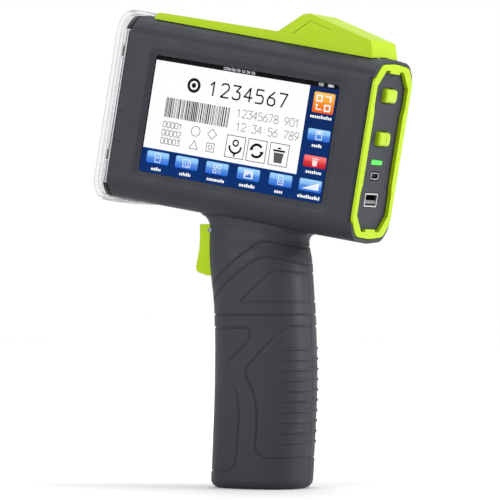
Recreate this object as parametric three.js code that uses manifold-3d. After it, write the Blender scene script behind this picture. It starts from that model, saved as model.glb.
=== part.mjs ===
// Handheld date code inkjet printer.
// Millimetres, +Z up. The origin is the middle of the handle's flat underside.
// The printing end faces -X, the screen faces -Y and the button panel faces +X.
// The head is tilted about Y: its own frame has x along the head, y across it and z up through it,
// with the middle of the screen at x = 0, z = 0.

import * as THREE from 'three';
import { mergeVertices } from 'three/addons/utils/BufferGeometryUtils.js';
import { LoftGeometry } from 'three/addons/geometries/LoftGeometry.js';
import Module from 'manifold-3d';

// ---------------------------------------------------------------- driving dimensions

const GAP = 0.3;
const FAR = 200;

const HEAD_TILT = THREE.MathUtils.degToRad(10);
const HEAD_CENTRE = new THREE.Vector3(-2.5, 0, 168.4);

const HEAD = { front: -64, rear: 65.4, half: 22, wall: 2.2 };
const HEAD_TOP = 44.1;
const HEAD_TOP_RISE = 1.1;
const HEAD_BOTTOM = -43.3;
const CROWN = 1;
const BEVEL_HALF = 15.5;
const BEVEL_TOP = 36.6;
const BEVEL_BOTTOM = -36;

const HANDLE = { half: 18.5, wall: 2.4, exponent: 2.6, baseRound: 4, fillet: 4.5, floor: 4.2 };
// Under the head the handle's sides draw in, so that the head stands out over them.
const NECK = { drawIn: 3.5, from: 106, to: 121 };
// Height, centre along X and half length of the handle's outline.
const HANDLE_STATIONS = [
  [0, -0.2, 23.8],
  [20, 0.9, 24.1],
  [50, 2.1, 24.2],
  [70, 2, 23.9],
  [88, 1.2, 23.7],
  [100, 0.1, 24],
  [112, -0.9, 24.1],
  [128, -1.8, 24.2],
];
const RING_POINTS = 32;

const WINDOW = { width: 97, height: 56, flare: 2.8, depth: 1.2 };
const INDEX_SLOT_HEIGHTS = [12.5, -1, -15.5];

const BAY = { front: -53, rear: 36, near: -10.4, far: 12 };
const LID = { half: 14, wall: 1.8, front: -56, rear: 59.6 };
const LID_HINGE = { x: 54.5, z: 45.9, pin: 1.25, hole: 1.55, ear: 2.3 };
const HINGE_POCKET = { front: 50, rear: 60, half: 14.4, floor: 38 };

const CAP = { front: -70.8, rim: -66.6, wall: 1.4, overTop: 1.7, overBottom: 1.5, tongueHalf: 13.5 };
const FRAME = { plugRear: -60.3, plugFront: -64, lipFront: -66.2 };
const ROLLER = { radius: 2.6, length: 5.3, stub: 0.8, x: -65.5, y: 17.9, upper: 27.1, lower: -22.7 };
const NOZZLE_WINDOW = { near: -5, far: 7, low: -25, high: -4 };

const PANEL = { rear: 61.6, front: 63.7 };
const RING = { half: 21.2, seat: 64, rear: 64.5, front: 65.8 };
const BUTTON = { width: 12, height: 6.6, upper: 26.1, lower: 5.9, front: 66.5, travelRoom: 1.1 };
const LAMP = { width: 11.8, height: 2.1, z: -5.3 };
const USB_C = { width: 8.94, height: 3.26, z: -11.6 };
const USB_A = { width: 14, height: 6.5, z: -22.9 };
const PORT_BOARD = { rear: 54, front: 55.6 };

const TRIGGER_PIVOT = { x: -22.2, z: 121.3, pin: 1.2, hole: 1.5 };
const TRIGGER = { half: 8, slotHalf: 8.5 };

const SCREW = { head: 2.3, shank: 1.2, hole: 1.55, pocket: 2.7, boss: 3.1, length: 26.5, top: 16.2 };
const HEAD_SCREWS = [
  ['screw_front_upper', -57.2, 39.2],
  ['screw_front_lower', -54, -37.4],
  ['screw_rear_upper', 48, 37.6],
  ['screw_rear_lower', 50, -37.4],
];
const HANDLE_SCREWS = [
  ['screw_handle_upper', 6, 92],
  ['screw_handle_lower', -1, 12.5],
];

const BASE_SCREW = { x: 10.5, y: -6.5, counterbore: 1.2 };

const CELL = { radius: 9.15, length: 65, bottom: 20.2 };

// ---------------------------------------------------------------- solids

const wasm = await Module();
wasm.setup();

/** Turns a closed geometry into a solid that can be joined and cut. */
function toSolid(geometry) {
  const bare = new THREE.BufferGeometry().copy(geometry);
  bare.deleteAttribute('normal');
  bare.deleteAttribute('uv');
  const welded = mergeVertices(bare, 1e-4);
  const corners = welded.getIndex().array;
  const faces = [];
  for (let i = 0; i < corners.length; i += 3) {
    const [a, b, c] = [corners[i], corners[i + 1], corners[i + 2]];
    if (a !== b && b !== c && c !== a) {
      faces.push(a, b, c);
    }
  }
  const vertProperties = new Float32Array(welded.getAttribute('position').array);
  const triVerts = new Uint32Array(faces);
  return new wasm.Manifold(new wasm.Mesh({ numProp: 3, vertProperties, triVerts }));
}

/** Turns a solid back into a geometry. */
function toGeometry(solid) {
  const mesh = solid.getMesh();
  const geometry = new THREE.BufferGeometry();
  geometry.setAttribute('position', new THREE.BufferAttribute(mesh.vertProperties, 3));
  geometry.setIndex(new THREE.BufferAttribute(mesh.triVerts, 1));
  geometry.computeVertexNormals();
  return geometry;
}

function join(...solids) {
  return solids.reduce((whole, piece) => whole.add(piece));
}

function cut(solid, ...tools) {
  return tools.reduce((rest, tool) => rest.subtract(tool), solid);
}

/** A block between two corners, given as x, y and z ranges. */
function block([x0, x1], [y0, y1], [z0, z1]) {
  const geometry = new THREE.BoxGeometry(x1 - x0, y1 - y0, z1 - z0);
  geometry.translate((x0 + x1) / 2, (y0 + y1) / 2, (z0 + z1) / 2);
  return toSolid(geometry);
}

const BASES = {
  x: new THREE.Matrix4().set(0, 0, 1, 0, 1, 0, 0, 0, 0, 1, 0, 0, 0, 0, 0, 1),
  y: new THREE.Matrix4().set(1, 0, 0, 0, 0, 0, -1, 0, 0, 1, 0, 0, 0, 0, 0, 1),
  z: new THREE.Matrix4(),
};

/** Extrudes a shape along an axis. The shape's own axes are the other two, in x, y, z order. */
function prismGeometry(shape, axis, from, to, curveSegments = 3) {
  const depth = to - from;
  const geometry = new THREE.ExtrudeGeometry(shape, { depth, bevelEnabled: false, curveSegments });
  geometry.translate(0, 0, axis === 'y' ? -to : from);
  return geometry.applyMatrix4(BASES[axis]);
}

function prism(shape, axis, from, to, curveSegments = 3) {
  return toSolid(prismGeometry(shape, axis, from, to, curveSegments));
}

/** A round bar along an axis, centred on the other two coordinates, given in x, y, z order. */
function bar(radius, axis, from, to, [u, v], sides = 20) {
  const geometry = new THREE.CylinderGeometry(radius, radius, to - from, sides);
  geometry.translate(0, (from + to) / 2, 0);
  if (axis === 'x') {
    geometry.rotateZ(-Math.PI / 2);
    geometry.translate(0, u, v);
  } else if (axis === 'y') {
    geometry.translate(u, 0, v);
  } else {
    geometry.rotateX(Math.PI / 2);
    geometry.translate(u, v, 0);
  }
  return toSolid(geometry);
}

function outline(points) {
  return new THREE.Shape(points.map(([u, v]) => new THREE.Vector2(u, v)));
}

/** A closed outline whose corners are rounded off, starting the given distance from each corner. */
function roundedOutline(points, distance) {
  const shape = new THREE.Shape();
  points.forEach(([u, v], i) => {
    const corner = new THREE.Vector2(u, v);
    const before = new THREE.Vector2(...points[(i + points.length - 1) % points.length]);
    const after = new THREE.Vector2(...points[(i + 1) % points.length]);
    const inward = before.sub(corner).setLength(Math.min(distance, before.length() / 2));
    const outward = after.sub(corner).setLength(Math.min(distance, after.length() / 2));
    const start = corner.clone().add(inward);
    const end = corner.clone().add(outward);
    if (i === 0) {
      shape.moveTo(start.x, start.y);
    } else {
      shape.lineTo(start.x, start.y);
    }
    shape.quadraticCurveTo(corner.x, corner.y, end.x, end.y);
  });
  shape.closePath();
  return shape;
}

function roundedRectangle(width, height, distance, [u, v] = [0, 0]) {
  const [w, h] = [width / 2, height / 2];
  return roundedOutline([[u - w, v - h], [u + w, v - h], [u + w, v + h], [u - w, v + h]], distance);
}

/** Repeats a half outline, given from bottom to top, as its mirror image on the other side. */
function mirrored(halfPoints) {
  const other = halfPoints.filter(([u]) => u !== 0).map(([u, v]) => [-u, v]).reverse();
  return [...halfPoints, ...other];
}

// ---------------------------------------------------------------- head outline

/** The head's cross-section in y and z, made smaller all round by inset. */
function headSection(inset = 0) {
  const slope = inset * 0.42;
  return roundedOutline(mirrored([
    [0, HEAD_BOTTOM + inset],
    [BEVEL_HALF - slope, HEAD_BOTTOM + CROWN + inset],
    [HEAD.half - inset, BEVEL_BOTTOM + slope],
    [HEAD.half - inset, BEVEL_TOP - slope],
    [BEVEL_HALF - slope, HEAD_TOP - CROWN - inset],
    [0, HEAD_TOP - inset],
  ]), 3);
}

/** Raises the upper half of a head-frame geometry towards the printing end, where the head is taller. */
function taperTop(geometry) {
  const position = geometry.getAttribute('position');
  const middle = (HEAD.front + HEAD.rear) / 2;
  const span = (HEAD.rear - HEAD.front) / 2;
  for (let i = 0; i < position.count; i += 1) {
    const z = position.getZ(i);
    if (z > 0) {
      position.setZ(i, z + HEAD_TOP_RISE * (middle - position.getX(i)) / span);
    }
  }
  return geometry;
}

function headPrism(from, to, inset = 0) {
  return toSolid(taperTop(prismGeometry(headSection(inset), 'x', from, to)));
}

// ---------------------------------------------------------------- handle outline

const centreCurve = new THREE.SplineCurve(HANDLE_STATIONS.map(([z, x]) => new THREE.Vector2(z, x)));
const lengthCurve = new THREE.SplineCurve(HANDLE_STATIONS.map(([z, , a]) => new THREE.Vector2(z, a)));

/** Reads a station curve at a height. */
function curveAt(curve, z) {
  const last = HANDLE_STATIONS.length - 1;
  let i = 0;
  while (i < last - 1 && HANDLE_STATIONS[i + 1][0] < z) {
    i += 1;
  }
  const [low, high] = [HANDLE_STATIONS[i][0], HANDLE_STATIONS[i + 1][0]];
  return curve.getPoint((i + (z - low) / (high - low)) / last).y;
}

/** Height of the head's underside over the handle's middle. */
const HEAD_UNDERSIDE = HEAD_CENTRE.z + (HEAD_BOTTOM + HEAD_CENTRE.x * Math.sin(HEAD_TILT)) / Math.cos(HEAD_TILT);

/** One ring of the handle: a superellipse that may be tilted to follow the head's underside. */
function handleRing(z, grow, tilt) {
  const { half, exponent } = HANDLE;
  const level = Math.min(z, HANDLE_STATIONS[HANDLE_STATIONS.length - 1][0]);
  const centre = curveAt(centreCurve, level);
  const a = curveAt(lengthCurve, level) + grow;
  const b = half - NECK.drawIn * THREE.MathUtils.smoothstep(z, NECK.from, NECK.to) + Math.min(grow, 0);
  const ring = [];
  for (let i = 0; i < RING_POINTS; i += 1) {
    const angle = (i / RING_POINTS) * Math.PI * 2;
    const [c, s] = [Math.cos(angle), Math.sin(angle)];
    const x = a * Math.sign(c) * Math.abs(c) ** (2 / exponent);
    const y = b * Math.sign(s) * Math.abs(s) ** (2 / exponent);
    ring.push(new THREE.Vector3(centre + x, y, z - x * Math.tan(tilt)));
  }
  return ring;
}

/** How far a round of the given radius still stands in at a distance from its start. */
function roundInset(radius, distance) {
  return radius - Math.sqrt(radius ** 2 - (radius - distance) ** 2);
}

/** The handle's outer form: rounded at the base and flared into the head's underside. */
function handleOuter() {
  const { baseRound, fillet } = HANDLE;
  const rings = [0, 0.5, 1.5, 2.7].map((z) => handleRing(z, -roundInset(baseRound, z), 0));
  for (const z of [baseRound, 14, 26, 38, 50, 60, 70, 79, 88, 94, 100, 106]) {
    rings.push(handleRing(z, 0, 0));
  }
  rings.push(handleRing(109.5, 0, HEAD_TILT / 4));
  rings.push(handleRing(113, 0, HEAD_TILT / 2));
  rings.push(handleRing(116, 0, HEAD_TILT * 0.75));
  for (const depth of [fillet, fillet * 0.6, fillet * 0.3, fillet * 0.1]) {
    rings.push(handleRing(HEAD_UNDERSIDE - depth, roundInset(fillet, depth), HEAD_TILT));
  }
  rings.push(handleRing(HEAD_UNDERSIDE + 0.6, fillet, HEAD_TILT));
  rings.push(handleRing(HEAD_UNDERSIDE + 6.5, fillet, HEAD_TILT));
  return toSolid(new LoftGeometry(rings, { capStart: true, capEnd: true }));
}

/** The space inside the handle, open into the head. */
function handleInner() {
  const { wall, floor } = HANDLE;
  const rings = [];
  for (const z of [floor, 26, 50, 70, 88, 100, 106, 110, 114, 118]) {
    rings.push(handleRing(z, -wall, 0));
  }
  rings.push(handleRing(HEAD_UNDERSIDE + 12, -wall, HEAD_TILT));
  return toSolid(new LoftGeometry(rings, { capStart: true, capEnd: true }));
}

/** A flat plate with the handle's kind of outline, centred over the origin. */
function ovalPlate(a, b, z0, z1) {
  const points = [];
  for (let i = 0; i < RING_POINTS; i += 1) {
    const angle = (i / RING_POINTS) * Math.PI * 2;
    const [c, s] = [Math.cos(angle), Math.sin(angle)];
    const power = 2 / HANDLE.exponent;
    points.push([a * Math.sign(c) * Math.abs(c) ** power, b * Math.sign(s) * Math.abs(s) ** power]);
  }
  return prism(outline(points), 'z', z0, z1);
}

const headMatrix = new THREE.Matrix4().makeRotationY(HEAD_TILT).setPosition(HEAD_CENTRE);

/** Moves a head-frame solid into the object's frame. */
function placed(solid) {
  return toSolid(toGeometry(solid).applyMatrix4(headMatrix));
}

// ---------------------------------------------------------------- casing

/** The ring's outline in y and z; grow widens it, for the seat it sits in. */
function trimOutline(grow = 0) {
  return roundedOutline(mirrored([
    [0, -40.9 - grow],
    [BEVEL_HALF - 0.5, -39.9 - grow],
    [RING.half + grow, -33],
    [RING.half + grow, 33.2],
    [BEVEL_HALF - 0.5, 40.1 + grow],
    [0, 41.1 + grow],
  ]), 3);
}

/** Slopes one side's rear edge down to the ring, between the head's top and bottom bevels. */
function rearEdgeCut(side) {
  const start = RING.rear - GAP;
  return prism(outline([
    [start - 1.2, side * (HEAD.half + 0.05)],
    [start, side * (HEAD.half - 1.15)],
    [start + 6, side * (HEAD.half - 1.15)],
    [start + 6, side * (HEAD.half + 4)],
    [start - 1.2, side * (HEAD.half + 4)],
  ]), 'z', -33.5, 34);
}

/** The flared window cut for the screen. */
function windowCut() {
  const { width, height, flare, depth } = WINDOW;
  const opening = roundedRectangle(width, height, 2.5);
  const settings = { depth: 10, bevelThickness: depth, bevelSize: flare, bevelSegments: 1, curveSegments: 3 };
  const flared = new THREE.ExtrudeGeometry(opening, settings);
  flared.applyMatrix4(BASES.y);
  flared.translate(0, -HEAD.half, 0);
  return join(toSolid(flared), prism(opening, 'y', -HEAD.half - 1, -HEAD.half + 5));
}

/** Side profile of the ears that carry the lid's hinge pin. */
function hingeEar(y0, y1) {
  const { x, z, ear, hole } = LID_HINGE;
  const arm = prism(outline([
    [40, 41.5],
    [48.6, 41.5],
    [49.6, 44.3],
    [x, z - ear],
    [x, z + ear],
    [49, 47.9],
    [43, 45.6],
  ]), 'y', y0, y1);
  return cut(join(arm, bar(ear, 'y', y0, y1, [x, z])), bar(hole, 'y', y0 - 1, y1 + 1, [x, z], 16));
}

/** Pockets that give the guide rollers room inside the casing's front edge. */
function rollerNotches() {
  const notches = [];
  for (const side of [-1, 1]) {
    for (const z of [ROLLER.upper, ROLLER.lower]) {
      const y = [side * 19, side * 20.9].sort((a, b) => a - b);
      notches.push(block([-66, -62.5], y, [z - 3.1, z + 3.1]));
    }
  }
  return join(...notches);
}

function screwCuts() {
  const { hole, pocket, top, length } = SCREW;
  const seat = top - 2;
  const screwCut = ([, x, z]) => join(
    bar(hole, 'y', top - length - 2, seat, [x, z], 12),
    bar(pocket, 'y', seat, 30, [x, z], 16),
  );
  return join(...HEAD_SCREWS.map(screwCut).map(placed), ...HANDLE_SCREWS.map(screwCut));
}

function bosses() {
  const boss = ([, x, z]) => bar(SCREW.boss, 'y', -20.5, 20.5, [x, z], 16);
  const inner = join(placed(headPrism(HEAD.front, HEAD.rear, 1)), handleOuter());
  return join(...HEAD_SCREWS.map(boss).map(placed), ...HANDLE_SCREWS.map(boss)).intersect(inner);
}

/** The block on the screen side's floor that the base plate is screwed to. */
function baseBoss() {
  const { x, y } = BASE_SCREW;
  return cut(
    block([x - 3.5, x + 3.5], [-13.5, y + 3.5], [2.3, 8]),
    bar(SCREW.hole, 'z', 0, 7, [x, y], 12),
  );
}

/** The rib across the handle that backs the trigger's spring. */
function springRib() {
  return block([-12.2, -10.4], [-17.4, 17.4], [98.5, 107.8]).intersect(handleOuter());
}

/** Both casing halves in one, still closed on the split plane. */
function wholeCasing() {
  const { front, rear, wall } = HEAD;
  const hollowHead = headPrism(front - 10, rear + 10, wall);
  const headCuts = join(
    hollowHead,
    prism(trimOutline(GAP + 0.1), 'x', RING.rear - GAP, rear + 5),
    rearEdgeCut(1),
    rearEdgeCut(-1),
    windowCut(),
    block([BAY.front, BAY.rear], [BAY.near, BAY.far], [30, 60]),
    block([HINGE_POCKET.front, HINGE_POCKET.rear], [-HINGE_POCKET.half, HINGE_POCKET.half],
      [HINGE_POCKET.floor, 60]),
    rollerNotches(),
  );
  const slots = INDEX_SLOT_HEIGHTS.map((z) => block([-64.5, -59.4], [-23, -21.5], [z - 0.3, z + 0.3]));
  const outer = join(placed(headPrism(front, rear)), handleOuter());
  const hollow = cut(outer, placed(headCuts), placed(join(...slots)), handleInner());
  const ears = join(hingeEar(-11.2, -9), hingeEar(9, 11.2));
  const filled = join(hollow, bosses(), springRib(), placed(ears));
  const { x, z, hole } = TRIGGER_PIVOT;
  const drilled = cut(
    filled,
    screwCuts(),
    block([-40, -14], [-TRIGGER.slotHalf, TRIGGER.slotHalf], [99, 124.9]),
    bar(hole, 'y', -11.1, 11.1, [x, z], 16),
    ovalPlate(17.6, 12.6, -1, 2.3),
    ovalPlate(15.2, 10.4, -1, 5),
  );
  return join(drilled, baseBoss());
}

const casing = wholeCasing();
const seam = GAP / 2;
const nearHalf = casing.intersect(block([-FAR, FAR], [-FAR, -seam], [-FAR, 2 * FAR]));
const farHalf = casing.intersect(block([-FAR, FAR], [seam, FAR], [-FAR, 2 * FAR]));

// ---------------------------------------------------------------- cartridge lid

function cartridgeLid() {
  const { half, wall, front, rear } = LID;
  const profile = outline([
    [front, 40],
    [front, 45.4],
    [front + 2, 47.6],
    [9.3, 47.6],
    [21, 57.3],
    [24.3, 58.2],
    [57.1, 50.3],
    [rear - 0.4, 44],
    [rear, 40],
  ]);
  const inside = outline([
    [front + wall, 39],
    [front + wall + 0.8, 45.8],
    [10.1, 45.8],
    [21.7, 55.5],
    [24.3, 56.3],
    [56.3, 48.8],
    [57.2, 46],
    [rear - wall, 44],
    [rear - wall, 39],
  ]);
  const shell = cut(prism(profile, 'y', -half, half), prism(inside, 'y', wall - half, half - wall));
  const { x, z, hole } = LID_HINGE;
  const knuckle = (y0, y1) => {
    const web = prism(outline([[x - 2, z], [x + 2, z], [x + 2, z + 3.6], [x - 2, z + 4.6]]), 'y', y0, y1);
    return join(bar(2.5, 'y', y0, y1, [x, z]), web);
  };
  const hinged = join(shell, knuckle(-8.6, -5.2), knuckle(5.2, 8.6));
  const chevron = prism(outline([
    [17.3, 48],
    [25.2, 55.2],
    [36.8, 52.4],
    [36.7, 51.8],
    [25.4, 54.5],
    [17.8, 47.6],
  ]), 'y', -half - 1, -half + 0.4);
  const raisedHead = headPrism(HEAD.front, HEAD.rear).translate(0, 0, GAP);
  const underKnuckles = block([x - 4, x + 4], [-9, 9], [z - 2.6, z + 2]).intersect(hinged);
  const trimmed = cut(hinged, raisedHead, chevron);
  return cut(join(trimmed, underKnuckles), bar(hole, 'y', -10, 10, [x, z], 16));
}

// ---------------------------------------------------------------- printing end

/** The clear cap: a shallow tray with a tongue over the head and one under it. */
function printEndCap() {
  const { front, rim, wall, overTop, overBottom, tongueHalf } = CAP;
  const stretched = (from, to, inset) => {
    const tray = headPrism(from, to, inset);
    const high = HEAD_TOP + HEAD_TOP_RISE;
    const scale = (high + overTop - HEAD_BOTTOM + overBottom) / (high - HEAD_BOTTOM);
    return tray.scale([1, 1, scale]).translate(0, 0, (1 - scale) * HEAD_BOTTOM - overBottom);
  };
  const tray = cut(stretched(front, rim, 0), stretched(front + wall, rim + 1, wall));
  const topTongue = prism(outline([
    [front + wall, 45.6],
    [front + wall, 46.9],
    [-57, 46.9],
    [-56.4, 46.4],
    [-56.4, 45.2],
    [-66, 45.2],
  ]), 'y', -tongueHalf, tongueHalf);
  const bottomTongue = prism(outline([
    [front + wall, -44.8],
    [-62, -44.8],
    [-50, -44],
    [-50, -43],
    [front + wall, -43],
  ]), 'y', -tongueHalf, tongueHalf);
  const keepOut = join(
    headPrism(FRAME.lipFront - GAP, HEAD.rear).scale([1, 1, 1.008]),
    stretched(front + wall, rim, wall),
  );
  return cut(join(tray, topTongue, bottomTongue), keepOut);
}

/** Runs a function for each of the four roller places and joins the results. */
function atRollers(make) {
  const solids = [];
  for (const side of [-1, 1]) {
    for (const z of [ROLLER.upper, ROLLER.lower]) {
      solids.push(make(side, z));
    }
  }
  return join(...solids);
}

/** A block on one side of the head, with its y range given outwards from the middle. */
function sideBlock(side, xRange, [inner, outer], zRange) {
  return block(xRange, side < 0 ? [-outer, -inner] : [inner, outer], zRange);
}

function nozzleWindow(grow) {
  const { near, far, low, high } = NOZZLE_WINDOW;
  return block([-70, -50], [near - grow, far + grow], [low - grow, high + grow]);
}

/** The black end piece: a plug inside the casing with a lip above and below the plates. */
function frontFrame() {
  const { plugRear, plugFront, lipFront } = FRAME;
  const plug = headPrism(HEAD.front - 0.5, plugRear + 1.5, HEAD.wall + GAP);
  const lip = headPrism(lipFront, HEAD.front - GAP);
  const plateSeat = block([lipFront - 1, plugFront], [-30, 30], [BEVEL_BOTTOM, BEVEL_TOP + 1]);
  const relief = block([plugRear - 1.3, -58], [-14, 14], [-32, 50]);
  const [, bossX, bossZ] = HEAD_SCREWS[0];
  const bossRelief = bar(SCREW.boss + 0.4, 'y', -30, 30, [bossX, bossZ], 20);
  const pockets = atRollers((side, z) => sideBlock(side, [-68, -62.5], [14.9, 21.2], [z - 3, z + 3]));
  const lugs = atRollers((side, z) => join(
    sideBlock(side, [-66.9, -63.5], [16.3, 19.5], [z - 4.3, z - 3]),
    sideBlock(side, [-66.9, -63.5], [16.3, 19.5], [z + 3, z + 4.3]),
  ));
  const stubHoles = atRollers((side, z) => {
    return bar(ROLLER.stub + 0.32, 'z', z - 3.95, z + 3.95, [ROLLER.x, side * ROLLER.y], 12);
  });
  const body = cut(join(plug, lip), plateSeat, relief, bossRelief);
  return cut(join(body, lugs), pockets, stubHoles, nozzleWindow(0));
}

/** A thin plate over the flat of the printing end, with room for the rollers and the nozzle. */
function frontPlate(from, to, notched) {
  const sheet = prism(roundedOutline([
    [-21.9, BEVEL_BOTTOM + GAP],
    [21.9, BEVEL_BOTTOM + GAP],
    [21.9, BEVEL_TOP + 0.7],
    [-21.9, BEVEL_TOP + 0.7],
  ], 0.6), 'x', from, to);
  const openings = atRollers((side, z) => join(
    sideBlock(side, [-70, -60], [16, notched ? 20.4 : 19.9], [z - 4.6, z + 4.6]),
    sideBlock(side, [-70, -60], [14.9, notched ? 23 : 21.3], [z - 3.35, z + 3.35]),
  ));
  return cut(sheet, openings, nozzleWindow(notched ? -0.6 : 0));
}

function guideRoller() {
  const { radius, length, stub } = ROLLER;
  const [half, tip] = [length / 2, length / 2 + 1];
  const profile = [
    [0, -tip],
    [stub, -tip],
    [stub, -half],
    [radius - 0.3, -half],
    [radius, 0.3 - half],
    [radius, half - 0.3],
    [radius - 0.3, half],
    [stub, half],
    [stub, tip],
    [0, tip],
  ];
  const roller = new THREE.LatheGeometry(profile.map(([r, z]) => new THREE.Vector2(r, z)), 16);
  return toSolid(roller.rotateX(Math.PI / 2));
}

// ---------------------------------------------------------------- cartridge and its cradle

function inkCartridge() {
  const body = prism(outline([
    [-61.2, -26],
    [-59.2, -28],
    [6, -28],
    [8, -26],
    [8, 30],
    [2, 34],
    [-56, 34],
    [-61.2, 29],
  ]), 'y', -9.4, 11.4);
  const grip = block([-6, 6], [-4.5, 6.5], [33.5, 35.5]);
  const snout = block([-65, -60], [-4, 6], [-24, -5]);
  return join(body, grip, snout);
}

function cartridgeCradle() {
  const tray = join(
    block([-59.6, 12], [-10.9, 12.9], [-30.5, -28.5]),
    block([-59.6, 12], [-10.9, -9.7], [-29, -6]),
    block([-59.6, 12], [11.7, 12.9], [-29, -6]),
    block([10, 12], [-10.9, 12.9], [-29, 20]),
  );
  return tray;
}

function contactBoard() {
  const board = block([8.9, 9.7], [-8, 10], [-16, 16]);
  const pads = [];
  for (const z of [-8, 0, 8]) {
    for (const y of [-4, 6]) {
      pads.push(block([8.4, 9], [y - 1, y + 1], [z - 1.5, z + 1.5]));
    }
  }
  return join(board, ...pads);
}

// ---------------------------------------------------------------- rear panel

function trimRing() {
  const opening = prism(outline(mirrored([
    [0, -36.4],
    [5.6, -36.4],
    [5.6, -37.6],
    [9.9, -37.6],
    [17.4, -30],
    [17.4, -19.6],
    [16.4, -16],
    [16.4, 17.6],
    [17.4, 21.2],
    [17.4, 30.2],
    [9.6, 37.8],
    [5.4, 37.8],
    [5.4, 36.5],
    [0, 36.5],
  ])), 'x', RING.seat - 1, RING.front + 1);
  const flange = prism(trimOutline(), 'x', RING.rear, RING.front);
  const plug = headPrism(RING.seat, RING.rear + 0.2, HEAD.wall + GAP);
  const plugLimit = prism(trimOutline(-0.2), 'x', RING.seat - 1, RING.front);
  return cut(join(flange, plug.intersect(plugLimit)), opening);
}

function endPanel() {
  const plate = toSolid(taperTop(prismGeometry(headSection(HEAD.wall + GAP), 'x', PANEL.rear, PANEL.front)));
  const hole = (width, height, corner, z) => {
    return prism(roundedRectangle(width, height, corner, [0, z]), 'x', PANEL.rear - 1, PANEL.front + 1);
  };
  return cut(
    plate,
    hole(BUTTON.width + 0.8, BUTTON.height + 0.8, 1.8, BUTTON.upper),
    hole(BUTTON.width + 0.8, BUTTON.height + 0.8, 1.8, BUTTON.lower),
    hole(LAMP.width + 0.6, LAMP.height + 0.6, 0.4, LAMP.z),
    hole(USB_C.width + 1.6, USB_C.height + 1.2, 2.2, USB_C.z),
    hole(USB_A.width + 0.6, USB_A.height + 0.6, 0.4, USB_A.z),
  );
}

function pushButton(z) {
  const stem = prism(roundedRectangle(BUTTON.width, BUTTON.height, 1.6, [0, z]), 'x', 61, BUTTON.front);
  const flange = prism(roundedRectangle(14.4, 9, 1.6, [0, z]), 'x', 60.2, 61.3);
  return join(stem, flange);
}

function tactSwitch(z) {
  const body = block([PORT_BOARD.front + GAP, 58.4], [-3, 3], [z - 3, z + 3]);
  const plunger = bar(1.6, 'x', 58, 60.2 - BUTTON.travelRoom, [0, z], 12);
  return join(body, plunger);
}

function statusLamp() {
  const window = block([60, PANEL.front], [-LAMP.width / 2, LAMP.width / 2],
    [LAMP.z - LAMP.height / 2, LAMP.z + LAMP.height / 2]);
  const guide = block([PORT_BOARD.front + 1, 60.5], [-3.5, 3.5], [LAMP.z - 1, LAMP.z + 1]);
  return join(window, guide);
}

/** A metal shell with a tongue inside, open towards +X. */
function socket({ width, height, z }, corner, wall, tongueHeight, tongueZ) {
  const from = PORT_BOARD.front + GAP;
  const shell = prism(roundedRectangle(width, height, corner, [0, z]), 'x', from, PANEL.front);
  const mouth = prism(roundedRectangle(width - 2 * wall, height - 2 * wall, corner * 0.8, [0, z]),
    'x', from + 1.2, PANEL.front + 1);
  const tongueHalf = width / 2 - wall - 0.7;
  const tongue = block([from + 0.8, PANEL.front - 0.8], [-tongueHalf, tongueHalf],
    [tongueZ - tongueHeight / 2, tongueZ + tongueHeight / 2]);
  return join(cut(shell, mouth), tongue);
}

// ---------------------------------------------------------------- screen and boards

function plate(width, height, corner, y0, y1) {
  return prism(roundedRectangle(width, height, corner), 'y', y0, y1, 2);
}

/** The front glass: a raised pane that fills the window, on a wider sheet behind the wall. */
function touchGlass() {
  const pane = plate(WINDOW.width - 2 * GAP, WINDOW.height - 2 * GAP, 2.2, -20.7, -19.4);
  return join(pane, plate(104, 63, 2, -19.5, -18.4));
}

function mainBoard() {
  const chips = [
    block([-30, -16], [-13.2, -11.9], [-4, 10]),
    block([-8, 4], [-13.2, -12.1], [2, 12]),
    block([14, 24], [-13.2, -12.3], [-14, -6]),
    block([30, 44], [-13.2, -11.6], [8, 20]),
  ];
  return join(plate(98, 58, 2, -14.6, -13), ...chips);
}

// ---------------------------------------------------------------- handle insides

function trigger() {
  const lever = prism(outline([
    [-28.9, 124.2],
    [-28.9, 118.5],
    [-29.2, 112.5],
    [-30.2, 107.5],
    [-31, 103.9],
    [-30.7, 102.2],
    [-29.5, 101.2],
    [-24.9, 99.8],
    [-21.5, 100.3],
    [-20.4, 103],
    [-19, 112.6],
    [-15.4, 113],
    [-15.4, 115.8],
    [-19, 116.4],
    [-18.8, 122],
    [-21, 124.2],
  ]), 'y', -TRIGGER.half, TRIGGER.half);
  const { x, z, hole } = TRIGGER_PIVOT;
  return cut(lever, bar(hole, 'y', -20, 20, [x, z], 16));
}

/** The trigger's return spring: a helix of wire between the trigger and the rib behind it. */
function triggerSpring() {
  const [from, to, radius, wire, turns] = [-19.4, -12.6, 2.2, 0.3, 4];
  const points = [];
  const steps = turns * 8;
  for (let i = 0; i <= steps; i += 1) {
    const angle = (i / steps) * turns * Math.PI * 2;
    const x = from + wire + (i / steps) * (to - from - 2 * wire);
    points.push(new THREE.Vector3(x, radius * Math.cos(angle), 105 + radius * Math.sin(angle)));
  }
  const section = new THREE.Shape();
  section.absarc(0, 0, wire, 0, Math.PI * 2);
  const extrudePath = new THREE.CatmullRomCurve3(points);
  const coil = new THREE.ExtrudeGeometry(section, { steps, curveSegments: 3, extrudePath });
  return toSolid(coil);
}

function triggerSwitch() {
  const body = block([-13.2, -6.8], [-2.9, 2.9], [109.4, 122.2]);
  const plunger = block([-14.2, -13], [-1, 1], [113.4, 115.4]);
  return join(body, plunger);
}

function batteryHolder() {
  const back = block([-12.5, 16.7], [10.2, 11.4], [17.2, 88]);
  const floorPlate = block([-12.5, 16.7], [-8, 11], [17.2, 18.8]);
  const topPlate = block([-12.5, 16.7], [-8, 11], [86.6, 88]);
  return join(back, floorPlate, topPlate);
}

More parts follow.
